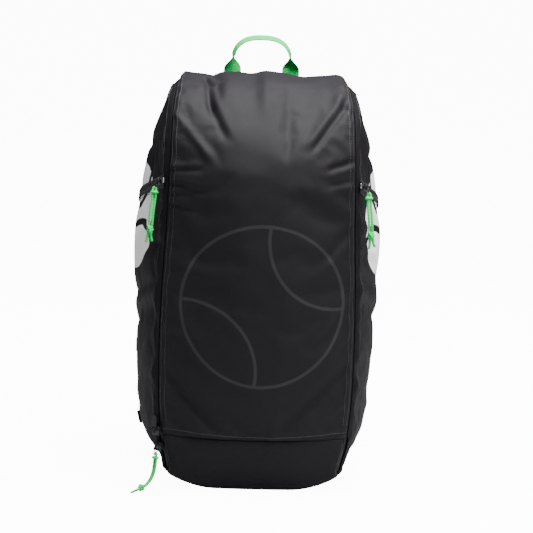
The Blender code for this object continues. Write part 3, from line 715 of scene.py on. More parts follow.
def cord_mesh(name, paths):
    """One mesh of several short lengths of cord."""
    pieces = [round_tube(f"{name}_{i}", path, CORD_R) for i, path in enumerate(paths)]
    return joined(name, pieces)


def joined(name, pieces):
    """Several mesh objects made one, keeping their materials and cloth coordinates."""
    with bpy.context.temp_override(active_object=pieces[0], selected_editable_objects=pieces):
        bpy.ops.object.join()
    pieces[0].name = name
    return pieces[0]


def make_cord_pull(word, route, spread, run_out, body):
    """Two strands of cord from a slider's ring to an overhand knot and its two tails."""
    run = unit(np.array(run_out, float))
    across = unit(np.array(spread, float) - run * np.dot(spread, run))
    front = np.cross(run, across)
    top = smooth_path(route, 9)
    centre = top[-1] + run * (KNOT_HALF + KNOT_GAP)
    start_run = unit(top[1] - top[0])
    side = unit(across - start_run * np.dot(across, start_run))

    bend = [top[0] + side * math.cos(a) * STRAND_GAP / 2 - start_run * math.sin(a) * 0.0030
            for a in np.linspace(0, math.pi, 11)]
    band = [top[0] + start_run * 0.0030 + side * math.cos(a) * 0.0036
            + np.cross(start_run, side) * math.sin(a) * 0.0026
            for a in np.linspace(0.3, 2 * math.pi + 0.3, 19)]
    hitch = dress(cord_mesh(f"{word}_cord_hitch", [bend, band]), GREEN_CORD, body, "green_cord")

    coil = [centre + run * (-0.0032 + 0.0064 * k / 30)
            + (across * math.cos(a) * 0.0031 + front * math.sin(a) * 0.0027)
            * (0.35 + 0.65 * math.sin(math.pi * min(max(k / 30, 0.06), 0.94)) ** 0.35)
            for k, a in enumerate(np.linspace(0, 4.2 * math.pi, 31))]
    over = [centre + run * 0.0046 * math.cos(a) + front * (0.0036 * math.sin(a))
            + across * 0.0022 * math.cos(a) for a in np.linspace(0.15, math.pi - 0.15, 12)]
    knot = dress(cord_mesh(f"{word}_cord_overhand", [coil, over]), GREEN_CORD, body,
                 "green_cord", f"{word}_cord_knot")

    for sign, strand in ((-1, "a"), (1, "b")):
        shift = across * (sign * STRAND_GAP / 2)
        tip = centre + run * (KNOT_HALF * 0.5 + TAIL)
        path = smooth_path([*(p + shift for p in top[::2]), centre - run * 0.001 + shift * 0.7,
                            tip - run * TAIL * 0.6 + shift * 1.1,
                            tip + shift * (2.2 if sign > 0 else 1.7) - run * (0.001 * sign)], 34)
        item = dress(round_tube(f"{word}_strand_{strand}", path, CORD_R), GREEN_CORD, body,
                     "green_cord", f"{word}_cord_{strand}")


def make_cords():
    for side, word in ((-1, "left"), (1, "right")):
        route = [(side * x, y, z) for x, y, z in SIDE_CORD_ROUTE]
        make_cord_pull(f"{word}_side", route, (1, 0, 0), (side * 0.08, 0, -1),
                       f"side_pull_{word}")
    make_cord_pull("front_lower", LOWER_CORD_ROUTE, (0.6, -0.5, 0.4), (-0.60, -0.75, -0.10),
                   "front_lower_pull")


make_cords()

# ---------------------------------------------------------------- stitching

STITCH, STITCH_GAP, THREAD_R = 0.0026, 0.0009, 0.00042
STITCHES = {}


def add_stitches(body, points, normals, sink=0.0001):
    """Note a row of stitches along points on a surface with the given normals."""
    points, normals = np.asarray(points, float), np.asarray(normals, float)
    length = np.concatenate([[0], np.cumsum(np.linalg.norm(np.diff(points, axis=0), axis=1))])
    want = np.arange(STITCH, length[-1] - STITCH, STITCH + STITCH_GAP)
    if not len(want):
        return
    places = np.stack([np.interp(want, length, points[:, k]) for k in range(3)], -1)
    ups = unit(np.stack([np.interp(want, length, normals[:, k]) for k in range(3)], -1))
    nexts = np.stack([np.interp(want + 0.001, length, points[:, k]) for k in range(3)], -1)
    run = nexts - places
    run = unit(run - ups * np.sum(run * ups, -1, keepdims=True))
    frames = np.stack([run, np.cross(ups, run), ups], 1)
    STITCHES.setdefault(body, []).append((places + ups * (THREAD_R * 0.5 - sink), frames))


def make_stitches():
    shape, faces = rounded_brick((STITCH, THREAD_R * 2, THREAD_R * 1.6))
    for body, rows in STITCHES.items():
        places = np.concatenate([r[0] for r in rows])
        frames = np.concatenate([r[1] for r in rows])
        item = scatter(f"stitching_{body}", shape, faces, places, frames)
        dress(item, THREAD, body, "shell_fabric")


# ---------------------------------------------------------------- shell fabric

FABRIC = 0.0011
ZIP_OUT, SIDE_OUT = 0.0068, 0.0085            # where the panels turn down towards the zip
EDGE_COLUMNS = 7
LIP_COVERED, LIP_OPEN = 0.0012, 0.0042        # from the zip's middle to the fabric's edge


def lip(v):
    """How far the fabric's edge stays from the middle of the zip."""
    v = np.asarray(v, float)
    gap = LIP_OPEN + (LIP_COVERED - LIP_OPEN) * ease(1.95, 2.10, v)
    return 0.0004 + (gap - 0.0004) * ease(0.12, 0.42, v)


def settle(points):
    """The base's corners lift off the floor, most at the front."""
    x, y, z = points[..., 0], points[..., 1], points[..., 2]
    reach = np.clip((np.abs(x) - 0.045) / 0.061, 0, 1.15)
    front = 0.25 + 0.75 * (1 - ease(-0.060, 0.060, y))
    lift = 0.0165 * reach ** 2 * front * (1 - ease(0.0, 0.060, z))
    points = points.copy()
    points[..., 2] += lift
    return points


def noise_field(points, scale, seed=0.0, stretch=(1, 1, 1)):
    """Smooth noise, about -1 to 1, at each point."""
    flat = (points.reshape(-1, 3) * np.array(stretch) * scale) + seed
    values = [noise.noise(Vector(p)) for p in flat]
    return np.array(values).reshape(points.shape[:-1])


def crease(x, y, start, end, depth, width):
    """A soft fold along a line: depth below nought sinks, above stands up."""
    a, b = np.array(start, float), np.array(end, float)
    run = b - a
    length = np.linalg.norm(run)
    run = run / length
    dx, dy = x - a[0], y - a[1]
    along = dx * run[0] + dy * run[1]
    off = -dx * run[1] + dy * run[0]
    past = np.maximum(np.maximum(-along, along - length), 0)
    fold = np.exp(-(off / width) ** 2) * np.exp(-(past / (2 * width)) ** 2)
    ridge = np.exp(-((off - 1.6 * width) / (1.3 * width)) ** 2)
    return depth * (fold - 0.45 * ridge * np.exp(-(past / (2 * width)) ** 2))


HOOD_LOBES = [(-0.115, 0.0), (-0.095, 0.0010), (-0.062, -0.0025), (-0.045, 0.0015),
              (-0.012, -0.0015), (0.004, 0.0020), (0.045, -0.0035), (0.075, -0.0010),
              (0.095, 0.0030), (0.115, 0.0)]
# start and end as (x, height along the front), depth, width, in metres
DOOR_CREASES = [
    ((-0.070, 0.500), (-0.064, 0.470), -0.0034, 0.0042),
    ((-0.064, 0.470), (-0.050, 0.444), -0.0024, 0.0050),
    ((0.064, 0.432), (0.094, 0.470), -0.0036, 0.0048),
    ((0.098, 0.470), (0.110, 0.462), -0.0020, 0.0040),
    ((-0.098, 0.452), (-0.070, 0.420), 0.0024, 0.0060),
    ((-0.106, 0.395), (-0.078, 0.398), -0.0018, 0.0032),
    ((-0.107, 0.378), (-0.084, 0.376), -0.0020, 0.0030),
    ((-0.107, 0.366), (-0.072, 0.372), -0.0016, 0.0034),
    ((-0.107, 0.354), (-0.086, 0.350), -0.0016, 0.0030),
    ((0.112, 0.412), (0.084, 0.404), -0.0026, 0.0040),
    ((0.110, 0.388), (0.086, 0.384), -0.0014, 0.0036),
    ((0.030, 0.490), (0.028, 0.425), -0.0008, 0.0060),
    ((0.016, 0.190), (0.012, 0.060), -0.0006, 0.0060),
    ((-0.110, 0.345), (-0.078, 0.300), -0.0012, 0.0070),
    ((-0.108, 0.250), (-0.070, 0.180), 0.0012, 0.0100),
    ((0.112, 0.335), (0.084, 0.300), -0.0012, 0.0060),
    ((0.112, 0.262), (0.080, 0.215), 0.0012, 0.0090),
    ((0.105, 0.150), (0.060, 0.105), -0.0010, 0.0080),
    ((-0.105, 0.140), (-0.066, 0.100), -0.0010, 0.0080),
    ((-0.020, 0.395), (0.050, 0.380), 0.0007, 0.0120),
]


def edge_strip(side, vs, sign, reach):
    """Columns of fabric beside the zip, from its lip out to where the panel proper starts."""
    centre, across, _ = zip_frame(side, vs)
    shares = np.linspace(0, 1, EDGE_COLUMNS + 1)[:-1]
    near = lip(vs)[:, None]
    offset = near + (reach - near) * shares
    return centre[:, None] + sign * across[:, None] * offset[..., None]


def soften(points, columns):
    """Round the fold where an edge strip meets its panel."""
    for _ in range(4):
        for k in columns:
            points[:, k] = points[:, k] * 0.5 + (points[:, k - 1] + points[:, k + 1]) * 0.25
    return points


def sheet_distance(points):
    """Distance along the cloth from each row's first point, and to its last."""
    steps = np.linalg.norm(np.diff(points, axis=1), axis=-1)
    run = np.concatenate([np.zeros((len(points), 1)), np.cumsum(steps, axis=1)], axis=1)
    return run, run[:, -1:] - run


def door_grid(v0, v1, rows, cols):
    """The door's outer surface with its pillow edges, puckers and folds."""
    vs = np.linspace(v0, v1, rows)
    us = (np.sin(np.linspace(-math.pi / 2, math.pi / 2, cols)) * 0.35
          + np.linspace(-1, 1, cols) * 0.65)
    v, u = np.meshgrid(vs, us, indexing="ij")
    inner = door_surface(v, u, ZIP_OUT)
    left, right = edge_strip(-1, vs, -1, ZIP_OUT), edge_strip(1, vs, -1, ZIP_OUT)
    points = np.concatenate([left, inner, right[:, ::-1]], axis=1)
    last = points.shape[1] - 1
    fold = [EDGE_COLUMNS - 1, EDGE_COLUMNS, EDGE_COLUMNS + 1]
    points = soften(points, fold + [last - k for k in fold])
    v = np.repeat(vs[:, None], points.shape[1], axis=1)
    normals = grid_normals(points)
    normals *= np.sign(np.sum(normals * (points - np.array([0, 0.02, 0.24])), -1))[..., None]
    edge = np.minimum(*sheet_distance(points))
    x, z = points[..., 0], points[..., 2]
    height = np.where(points[..., 1] > -0.02, 0.50 + points[..., 1], z)
    push = np.zeros_like(x)
    pucker = noise_field(points, 62, 3.7, (1.0, 1.0, 1.0))
    fine = noise_field(points, 150, 9.1, (0.55, 1, 1))
    push += (0.0015 * pucker + 0.0006 * fine) * np.exp(-edge / 0.016) * ease(0.0, 0.004, edge)
    push += 0.0010 * noise_field(points, 19, 1.3) + 0.0005 * noise_field(points, 45, 5.2)
    push += 0.0008 * np.exp(-((edge - 0.008) / 0.006) ** 2)
    for start, end, depth, width in DOOR_CREASES:
        push += crease(x, height, start, end, depth, width)
    push += through(HOOD_LOBES, x) * ease(0.448, 0.484, z) * ease(0.0, 0.02, edge)
    sag = ease(0.0, 0.03, edge)
    push += -0.0010 * np.exp(-((z - 0.020) / 0.010) ** 2) * sag
    push *= ease(0.0, 0.003, edge)
    return points + normals * push[..., None], normals, v


def seam_dip(points, normals, v, at, depth=0.0012, width=0.0035):
    """Pull the fabric in where it is sewn at station at."""
    off = np.abs(v - at) * 0.035
    return points - normals * (depth * np.exp(-(off / width) ** 2))[..., None]


def clean_grid(name, points, thickness=FABRIC, material=None, inside=None, flip=False):
    """Fabric sheet from a grid of points: cloth coordinates, thickness inward, lining inside."""
    rows, cols = points.shape[:2]
    item = mesh_object(name, points, grid_faces(rows, cols, flip), grid_metres(points))
    item.data.materials.append(material or CLOTH)
    thicken(item, thickness, inside or LINING)
    return item


def outward_check(item, centre):
    """Turn the sheet if its faces look in."""
    total = 0.0
    for face in item.data.polygons:
        total += face.area * face.normal.dot(face.center - Vector(centre))
    if total < 0:
        item.data.flip_normals()
    return item


def settle_item(item, body, slot, *nodes):
    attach(item, body)
    if nodes:
        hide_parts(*nodes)
    return item


def relax(points, pinned, pressure, growth, cap, frames=20):
    """Cloth simulation of every second point of a grid: how far the cloth moves, for the
    whole grid. Pinned points stay; the cloth is cut larger than its place by growth."""
    rows, cols = points.shape[:2]
    keep_rows, keep_cols = np.arange(0, rows, 2), np.arange(0, cols, 2)
    coarse = points[np.ix_(keep_rows, keep_cols)]
    item = mesh_object("cloth_study", coarse, grid_faces(len(keep_rows), len(keep_cols)))
    if np.sum([f.normal.dot(f.center - Vector(BAG_INSIDE)) for f in item.data.polygons]) < 0:
        item.data.flip_normals()
    held = np.flatnonzero(pinned[np.ix_(keep_rows, keep_cols)].ravel())
    item.vertex_groups.new(name="pin").add(held.tolist(), 1.0, "REPLACE")
    cloth = item.modifiers.new("cloth", "CLOTH")
    cloth.point_cache.frame_end = frames
    settings = cloth.settings
    settings.quality = 5
    settings.mass = 0.15
    settings.tension_stiffness = settings.compression_stiffness = 25
    settings.shear_stiffness = 8
    settings.bending_stiffness = 0.4
    settings.air_damping = 2.0
    settings.shrink_min = -growth
    settings.use_pressure = True
    settings.uniform_pressure_force = pressure
    settings.vertex_group_mass = "pin"
    settings.effector_weights.gravity = 0
    scene = bpy.context.scene
    for frame_number in range(1, frames + 1):
        scene.frame_set(frame_number)
    graph = bpy.context.evaluated_depsgraph_get()
    shaped = item.evaluated_get(graph).to_mesh()
    moved = np.empty(len(shaped.vertices) * 3)
    shaped.vertices.foreach_get("co", moved)
    move = moved.reshape(coarse.shape) - coarse
    bpy.data.objects.remove(item)
    scene.frame_set(1)
    far = np.linalg.norm(move, axis=-1, keepdims=True)
    move *= np.minimum(1, cap / np.maximum(far, 1e-9))
    full = np.empty((rows, len(keep_cols), 3))
    for k in range(3):
        for j in range(len(keep_cols)):
            full[:, j, k] = np.interp(np.arange(rows), keep_rows, move[:, j, k])
    out = np.empty_like(points)
    for k in range(3):
        for i in range(rows):
            out[i, :, k] = np.interp(np.arange(cols), keep_cols, full[i, :, k])
    for _ in range(2):
        out[1:-1] = (out[1:-1] * 2 + out[:-2] + out[2:]) / 4
        out[:, 1:-1] = (out[:, 1:-1] * 2 + out[:, :-2] + out[:, 2:]) / 4
    return out


def border(shape, columns, rows=2):
    """Which points of a grid are within so many columns or rows of its edge."""
    mask = np.zeros(shape, bool)
    mask[:, :columns] = mask[:, -columns:] = True
    mask[:rows] = mask[-rows:] = True
    return mask


BAG_INSIDE = (0, 0.02, 0.24)                  # a point well inside, that the shell faces away from
DOOR_PRESSURE, SIDE_PRESSURE, GROWTH, CLOTH_CAP = 1.0, 0.45, 0.018, 0.006
SEAM_GAP, TAPE_REACH = 0.005, 0.16            # in stations, each side of the door's cross seam
TAPE_BEHIND, TAPE_THICK = 0.0016, 0.0006      # the tape behind that seam, in metres


def make_door():
    points, normals, v = door_grid(DOOR_SPLIT + SEAM_GAP, LAST - 0.02, 250, 121)
    points = settle(seam_dip(points, normals, v, DOOR_SPLIT))
    points += relax(points, border(points.shape[:2], EDGE_COLUMNS + 1), DOOR_PRESSURE, GROWTH,
                    CLOTH_CAP)
    item = outward_check(clean_grid("front_panel_fabric", points, material=CLOTH_FRONT),
                         BAG_INSIDE)
    settle_item(item, "front_door", "shell_fabric", "front_upper_panel")
    for distance in (0.0030, 0.0090):
        for last in (0, -1):
            line, ups = along_edge(points, normals, distance, last)
            add_stitches("front_door", line[8:], ups[8:])
    add_stitches("front_door", points[4, 3:-3], normals[4, 3:-3])

    points, normals, v = door_grid(0.0, DOOR_SPLIT - SEAM_GAP, 46, 121)
    points = settle(seam_dip(points, normals, v, DOOR_SPLIT))
    item = outward_check(clean_grid("front_lower_fabric", points), BAG_INSIDE)
    settle_item(item, "front_door", "shell_fabric", "front_lower_panel")
    for last in (0, -1):
        line, ups = along_edge(points, normals, 0.0024, last)
        add_stitches("front_door", line[4:-3], ups[4:-3])

    points, normals, v = door_grid(DOOR_SPLIT - TAPE_REACH, DOOR_SPLIT + TAPE_REACH, 14, 121)
    points = settle(seam_dip(points, normals, v, DOOR_SPLIT)) - normals * TAPE_BEHIND
    item = outward_check(clean_grid("front_seam_tape", points, TAPE_THICK, LINING), BAG_INSIDE)
    settle_item(item, "front_door", "lining_fabric")


def along_edge(points, normals, distance, last):
    """Points on a grid at a distance from its first (0) or last (-1) column."""
    if last == -1:
        points, normals = points[:, ::-1], normals[:, ::-1]
    line, ups = [], []
    for row, up in zip(points, normals):
        run = np.concatenate([[0], np.cumsum(np.linalg.norm(np.diff(row, axis=0), axis=1))])
        line.append([np.interp(distance, run, row[:, k]) for k in range(3)])
        ups.append([np.interp(distance, run, up[:, k]) for k in range(3)])
    return np.array(line), unit(np.array(ups))


# (y, z) start and end, depth and width of folds in the side panels
SIDE_CREASES = [
    ((-0.070, 0.336), (-0.015, 0.312), 0.0020, 0.0075),
    ((-0.072, 0.300), (-0.010, 0.282), -0.0015, 0.0070),
    ((-0.070, 0.250), (0.000, 0.225), 0.0022, 0.0090),
    ((-0.066, 0.205), (-0.010, 0.160), -0.0014, 0.0080),
    ((-0.074, 0.140), (0.005, 0.100), 0.0020, 0.0090),
    ((0.020, 0.200), (0.085, 0.150), -0.0016, 0.0100),
    ((-0.060, 0.060), (0.040, 0.045), -0.0014, 0.0080),
    ((0.000, 0.415), (0.060, 0.400), -0.0014, 0.0080),
    ((0.060, 0.420), (0.090, 0.340), 0.0014, 0.0090),
    ((0.070, 0.100), (0.092, 0.040), 0.0014, 0.0080),
]


def side_grid(side, rows, cols):
    vs, ts = np.linspace(0.0, LAST - 1.25, rows), np.linspace(0, 1, cols)
    v, t = np.meshgrid(vs, ts, indexing="ij")
    points = np.concatenate([edge_strip(side, vs, 1, SIDE_OUT),
                             side_surface(side, v, t, SIDE_OUT)], axis=1)
    points = soften(points, [EDGE_COLUMNS - 1, EDGE_COLUMNS, EDGE_COLUMNS + 1])
    normals = grid_normals(points)
    normals *= np.sign(np.sum(normals * np.array([side, 0, 0]), -1).mean())
    y, z = points[..., 1], points[..., 2]
    edge = np.minimum(*sheet_distance(points))
    push = (0.0016 * noise_field(points, 58, 2.0 + side)
            + 0.0006 * noise_field(points, 140, 6.0 + side)) * np.exp(-edge / 0.018)
    push = push * ease(0.0, 0.004, edge)
    push += 0.0008 * noise_field(points, 17, 8.0 + side) + 0.0005 * noise_field(points, 40, 4.4 + side)
    for k, (start, end, depth, fold) in enumerate(SIDE_CREASES):
        shift = 0.006 * side * math.sin(k * 2.1)
        push += crease(y, z + shift, start, end, depth, fold)
    near_zip = np.exp(-((z - side_zip_height(y)) / 0.010) ** 2) * ease(-0.085, -0.078, y) \
        * (1 - ease(0.036, 0.046, y))
    push = push * (1 - 0.9 * near_zip) * ease(0.0, 0.006, edge)
    return points + normals * push[..., None], normals


SIDE_ZIP_START, SIDE_ZIP_END = (-0.072, 0.380), (0.030, 0.350)


def side_zip_height(y):
    (y0, z0), (y1, z1) = SIDE_ZIP_START, SIDE_ZIP_END
    return z0 + (z1 - z0) * (y - y0) / (y1 - y0)


def make_side_panel(side, word):
    points, normals = side_grid(side, 210, 91)
    points = settle(points)
    y, z = points[..., 1], points[..., 2]
    sewn = (np.abs(z - side_zip_height(y)) < 0.014) & (y < SIDE_ZIP_END[0] + 0.016)
    pinned = border(points.shape[:2], EDGE_COLUMNS + 1) | sewn
    points += relax(points, pinned, SIDE_PRESSURE, GROWTH, CLOTH_CAP)
    item = outward_check(clean_grid(f"{word}_side_fabric", points, material=CLOTH_SIDE),
                         BAG_INSIDE)
    settle_item(item, "bag_body", "shell_fabric", f"{word}_side_panel")
    for distance, last, first in ((0.0105, 0, 34), (0.0150, 0, 34), (0.0035, -1, 3)):
        line, ups = along_edge(points, normals, distance, last)
        add_stitches("bag_body", line[first:-6], ups[first:-6])


def base_edge():
    """The base's outline where the walls meet it, as one closed ring of points."""
    front = door_surface(np.zeros(41), np.linspace(-1, 1, 41), 0.0004)
    right = side_surface(1, np.zeros(40), np.linspace(0.0, 1, 40), 0.0004)
    left = right[::-1] * np.array([-1, 1, 1])
    back = np.stack([np.linspace(right[-1, 0], -right[-1, 0], 42)[1:-1],
                     np.full(40, right[-1, 1]), np.full(40, right[-1, 2])], -1)
    return np.vstack([front, right, back, left])


def make_base():
    """Bottom fabric: flat where it stands, rolled up to the walls round its edge."""
    edge = base_edge()
    middle = np.array([0, 0.005, 0.0])
    shares = np.concatenate([np.linspace(0.03, 0.80, 14),
                             1 - 0.20 * (1 - np.linspace(0, 1, 14)[1:]) ** 1.6])
    rows = []
    for share in shares:
        ring = middle + (edge - middle) * share
        roll = np.clip((share - 0.86) / 0.14, 0, 1)
        ring[:, 2] = 0.0006 + 0.0058 * (1 - math.sqrt(max(1 - roll ** 2, 0)))
        rows.append(ring)
    points = np.array(rows)
    bumps = noise_field(points, 40, 2.2)
    points[..., 2] += (0.0004 + 0.0004 * bumps) * (shares < 0.86)[:, None]
    points = settle(points)
    points[..., 2] = np.maximum(points[..., 2], 0.0003)
    count, ring = points.shape[:2]
    faces = grid_faces(count, ring, wrap=True) + [tuple(range(ring))]
    item = mesh_object("base_fabric", points, faces, points[..., :2])
    fix_normals(item)
    if sum(f.area * f.normal.z for f in item.data.polygons) > 0:
        item.data.flip_normals()
    item.data.materials.append(CLOTH)
    thicken(item, FABRIC, LINING)
    settle_item(item, "bag_body", "shell_fabric", "base_panel")

    inner = points[shares < 0.84] + np.array([0, 0, FABRIC + 0.0008])
    inner[:, :, :2] *= 0.985
    board = mesh_object("base_board_sheet", inner, grid_faces(len(inner), ring, wrap=True)
                        + [tuple(range(ring))], inner[..., :2])
    fix_normals(board)
    if sum(f.area * f.normal.z for f in board.data.polygons) > 0:
        board.data.flip_normals()
    thicken(board, 0.0022)
    dress(board, BOARD, "bag_body", "stiff_board", "base_board")


make_door()
for SIDE, WORD in ((-1, "left"), (1, "right")):
    make_side_panel(SIDE, WORD)
make_base()

# ---------------------------------------------------------------- zips

TAPE_DEPTH, TAPE_THICK, TAPE_REACH = 0.0027, 0.0006, 0.0066
TEETH_DEPTH = 0.0020
TOOTH = (0.0036, 0.0011, 0.0013)              # across, along and out of the tape
TOOTH_PITCH = 0.0021


def zip_line(first=0.03, steps=440):
    """Centres, across and outward directions along the whole front zip."""
    run = np.linspace(first, LAST, steps)
    left, right = zip_frame(-1, run), zip_frame(1, run[::-1])
    middle_x = np.linspace(left[0][-1, 0], right[0][0, 0], 90)[1:-1]
    centre = np.repeat(left[0][-1:], 88, axis=0)
    centre[:, 0] = middle_x
    across, out = (np.repeat(left[k][-1:], 88, axis=0) for k in (1, 2))
    return [np.vstack(parts) for parts in zip(left, (centre, across, out), right)]


def even_places(line, pitch, start=0.0):
    centre = line[0]
    length = np.concatenate([[0], np.cumsum(np.linalg.norm(np.diff(centre, axis=0), axis=1))])
    want = np.arange(start, length[-1], pitch)
    return [np.stack([np.interp(want, length, part[:, k]) for k in range(3)], -1)
            for part in line]


def make_teeth(name, line, offset, depth, body, nodes, start=0.0, size=TOOTH,
               pitch=TOOTH_PITCH):
    centre, across, out = even_places(line, pitch, start)
    nexts = even_places(line, pitch, start + 0.0005)[0]
    count = min(len(centre), len(nexts))
    centre, across, out, nexts = (part[:count] for part in (centre, across, out, nexts))
    run = unit(nexts - centre)
    across = unit(across - run * np.sum(across * run, -1, keepdims=True))
    frames = np.stack([across, run, np.cross(across, run)], 1)
    places = settle(centre + across * offset + out * depth)
    shape, faces = rounded_brick(size)
    item = scatter(name, shape, faces, places, frames)
    dress(item, COIL, body, "zip_teeth", *nodes)


def make_tape(name, line, low, high, body, nodes, depth=-TAPE_DEPTH):
    centre, across, out = line
    offsets = np.linspace(low, high, 6)
    points = centre[:, None] + across[:, None] * offsets[:, None] + out[:, None] * depth
    points = settle(points)
    rows, cols = points.shape[:2]
    item = mesh_object(name, points, grid_faces(rows, cols), grid_metres(points))
    thicken(item, TAPE_THICK)
    dress(item, BLACK_WEBBING, body, "zip_teeth", *nodes)
    total = sum(f.area * f.normal.dot(f.center - Vector(BAG_INSIDE))
                for f in item.data.polygons)
    if total < 0:
        item.data.flip_normals()


def make_front_zip():
    line = zip_line()
    for half, sign, body, start in (("body", 1, "bag_body", 0.0),
                                    ("door", -1, "front_door", TOOTH_PITCH / 2)):
        node = f"front_zip_{half}_half"
        low, high = sorted((sign * 0.0004, sign * TAPE_REACH))
        make_tape(f"front_{half}_tape", line, low, high, body, [node])
        make_teeth(f"front_{half}_teeth", line, sign * 0.0009, -TEETH_DEPTH, body, [node], start)


TAPE_LIFT = 0.0017
HEIGHTS = np.linspace(0, 10, 2001)
HEIGHT_Z = station(HEIGHTS)[:, 1]


def side_at(side, y, z, inset=0.0, start=SIDE_OUT):
    """Points on the upright part of a side panel at depths and heights."""
    y, z = np.broadcast_arrays(np.asarray(y, float), np.asarray(z, float))
    v = np.interp(z, HEIGHT_Z, HEIGHTS)
    near = side_surface(side, v, np.zeros_like(v), start)[..., 1]
    point = side_surface(side, v, (y - near) / (BACK_Y - near), start)
    point[..., 0] -= side * inset
    return point


def make_side_zip(side, word):
    """Tape, teeth and stitching of a side pocket's zip."""
    ys = np.linspace(SIDE_ZIP_START[0] - 0.006, SIDE_ZIP_END[0] + 0.006, 60)
    centre = side_at(side, ys, side_zip_height(ys))
    run = unit(np.gradient(centre, axis=0))
    out = unit(np.cross(run, np.array([0, 0, 1.0])) * -side)
    out *= np.sign(out[:, :1] * side)
    across = np.cross(run, out)
    line = [centre, across, out]
    nodes = [f"side_zip_{word}"]
    tape_name = f"{word}_pocket_tape"
    offsets = np.linspace(-0.0085, 0.0085, 9)
    points = centre[:, None] + across[:, None] * offsets[:, None] \
        + out[:, None] * (0.0009 - 0.35 * np.abs(offsets[:, None]) ** 1.3)
    item = mesh_object(tape_name, points, grid_faces(*points.shape[:2]), grid_metres(points))
    if item.data.polygons[0].normal.x * side < 0:
        item.data.flip_normals()
    thicken(item, TAPE_THICK)
    dress(item, BLACK_WEBBING, "bag_body", "zip_teeth", *nodes)
    for half, sign, start in (("upper", 1, 0.0), ("lower", -1, TOOTH_PITCH / 2)):
        make_teeth(f"{word}_pocket_teeth_{half}", line, sign * 0.0008, TAPE_LIFT - 0.0003,
                   "bag_body", nodes, start, (0.0030, 0.0011, 0.0010))
    for offset in (-0.0066, 0.0066):
        add_stitches("bag_body", centre + across * offset + out * 0.0007, out)
    u, w = np.meshgrid(np.linspace(-1, 1, 25), np.linspace(-1, 1, 25))
    ys, off = SIDE_ZIP_END[0] + 0.0060 + 0.0065 * u, 0.0100 * w
    patch = side_at(side, ys, side_zip_height(ys) + off)
    dome = (1 - u ** 6) * (1 - w ** 6)
    patch[..., 0] += side * (0.0002 + 0.0026 * dome)
    item = mesh_object(f"{word}_pocket_zip_end", patch, grid_faces(25, 25), grid_metres(patch))
    if item.data.polygons[300].normal.x * side < 0:
        item.data.flip_normals()
    thicken(item, 0.0008)
    dress(item, CLOTH, "bag_body", "shell_fabric")


# ---------------------------------------------------------------- carrying handle

WEB_WIDTH, WEB_THICK = 0.022, 0.0018
HANDLE_X, HANDLE_Y = 0.0371, 0.1098
HANDLE_SPRING, HANDLE_TOP, TAB_FOOT = 0.5072, 0.5421, 0.4660
ARCH_LOWERED = 0.0022                         # how far the arch's middle is under HANDLE_TOP
TWIST = 88                                    # degrees the webbing turns into the arch
HANDLE_TILT = 0.17                            # the arch's back edge stands outward


def make_handle():
    """One length of webbing: flat where it is sewn on, turned on edge through the arch."""
    angles = np.radians(np.linspace(0, 180, 71))
    arch = np.stack([-HANDLE_X * np.sign(np.cos(angles)) * np.abs(np.cos(angles)) ** 0.8,
                     np.full(71, HANDLE_Y),
                     HANDLE_SPRING + (HANDLE_TOP - ARCH_LOWERED - HANDLE_SPRING)
                     * np.sin(angles) ** 0.8], -1)
    climb = np.linspace(TAB_FOOT, HANDLE_SPRING - 0.0008, 34)
    left = np.stack([np.full(34, -HANDLE_X), np.full(34, HANDLE_Y), climb], -1)
    right = left[::-1] * np.array([-1, 1, 1])
    path = np.vstack([left, arch, right])
    turn = ease(0.4960, 0.5190, path[:, 2]) * math.radians(TWIST)
    sign = np.where(path[:, 0] < 0, 1.0, -1.0)
    run = unit(np.gradient(path, axis=0))
    tilt = HANDLE_TILT * np.sin(turn)
    dirs = np.stack([np.cos(turn) * sign - run[:, 2] * tilt, np.sin(turn), run[:, 0] * tilt], -1)
    pinch = 1 - 0.16 * np.exp(-((path[:, 2] - 0.511) / 0.006) ** 2)
    base = np.array(webbing_section(WEB_WIDTH, WEB_THICK))
    section = base[None] * np.stack([pinch, np.ones_like(pinch)], -1)[:, None]
    item = sweep("handle_webbing", path, dirs, section)
    dress(item, GREEN_WEBBING, "bag_body", "green_webbing", "grab_handle", "handle_tab_left",
          "handle_tab_right")
    item.parent = None
    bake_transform(item)
    back = np.array([0, 1.0, 0])
    for side in (-1, 1):
        for low, high in (((-0.008, 0.469), (0.008, 0.469)), ((-0.008, 0.487), (0.008, 0.487)),
                          ((-0.008, 0.469), (-0.008, 0.487)), ((0.008, 0.469), (0.008, 0.487)),
                          ((-0.008, 0.469), (0.008, 0.487)), ((-0.008, 0.487), (0.008, 0.469))):
            ends = [(side * HANDLE_X + x, HANDLE_Y + WEB_THICK / 2, z) for x, z in (low, high)]
            line = np.linspace(*ends, 12)
            add_stitches("bag_body", line, np.repeat(back[None], 12, axis=0))


# ---------------------------------------------------------------- straps

STRAP_WIDTH, STRAP_THICK = 0.058, 0.012
STRAP_PATH = [(0.044, 0.1185, 0.452), (0.050, 0.1255, 0.410), (0.058, 0.1280, 0.360),
              (0.070, 0.1280, 0.300), (0.090, 0.1285, 0.235), (0.116, 0.1300, 0.180),
              (0.130, 0.1310, 0.146)]
LOCK_CENTRE = (0.1365, 0.1310, 0.1310)
STRAP_FOOT = (0.1340, 0.1125, 0.0480)
FOOT_WIDTH = 0.024


def strap_frames(side, count=110):
    path = smooth_path([(side * x, y, z) for x, y, z in STRAP_PATH], count)
    run = unit(np.gradient(path, axis=0))
    depth = np.array([0, 1.0, 0]) - run * run[:, 1:2]
    depth = unit(depth)
    across = np.cross(run, depth)
    share = np.linspace(0, 1, count)
    taper = 1 - 0.42 * np.maximum(0, share - 0.55) / 0.45
    return path, run, depth, across, taper, share


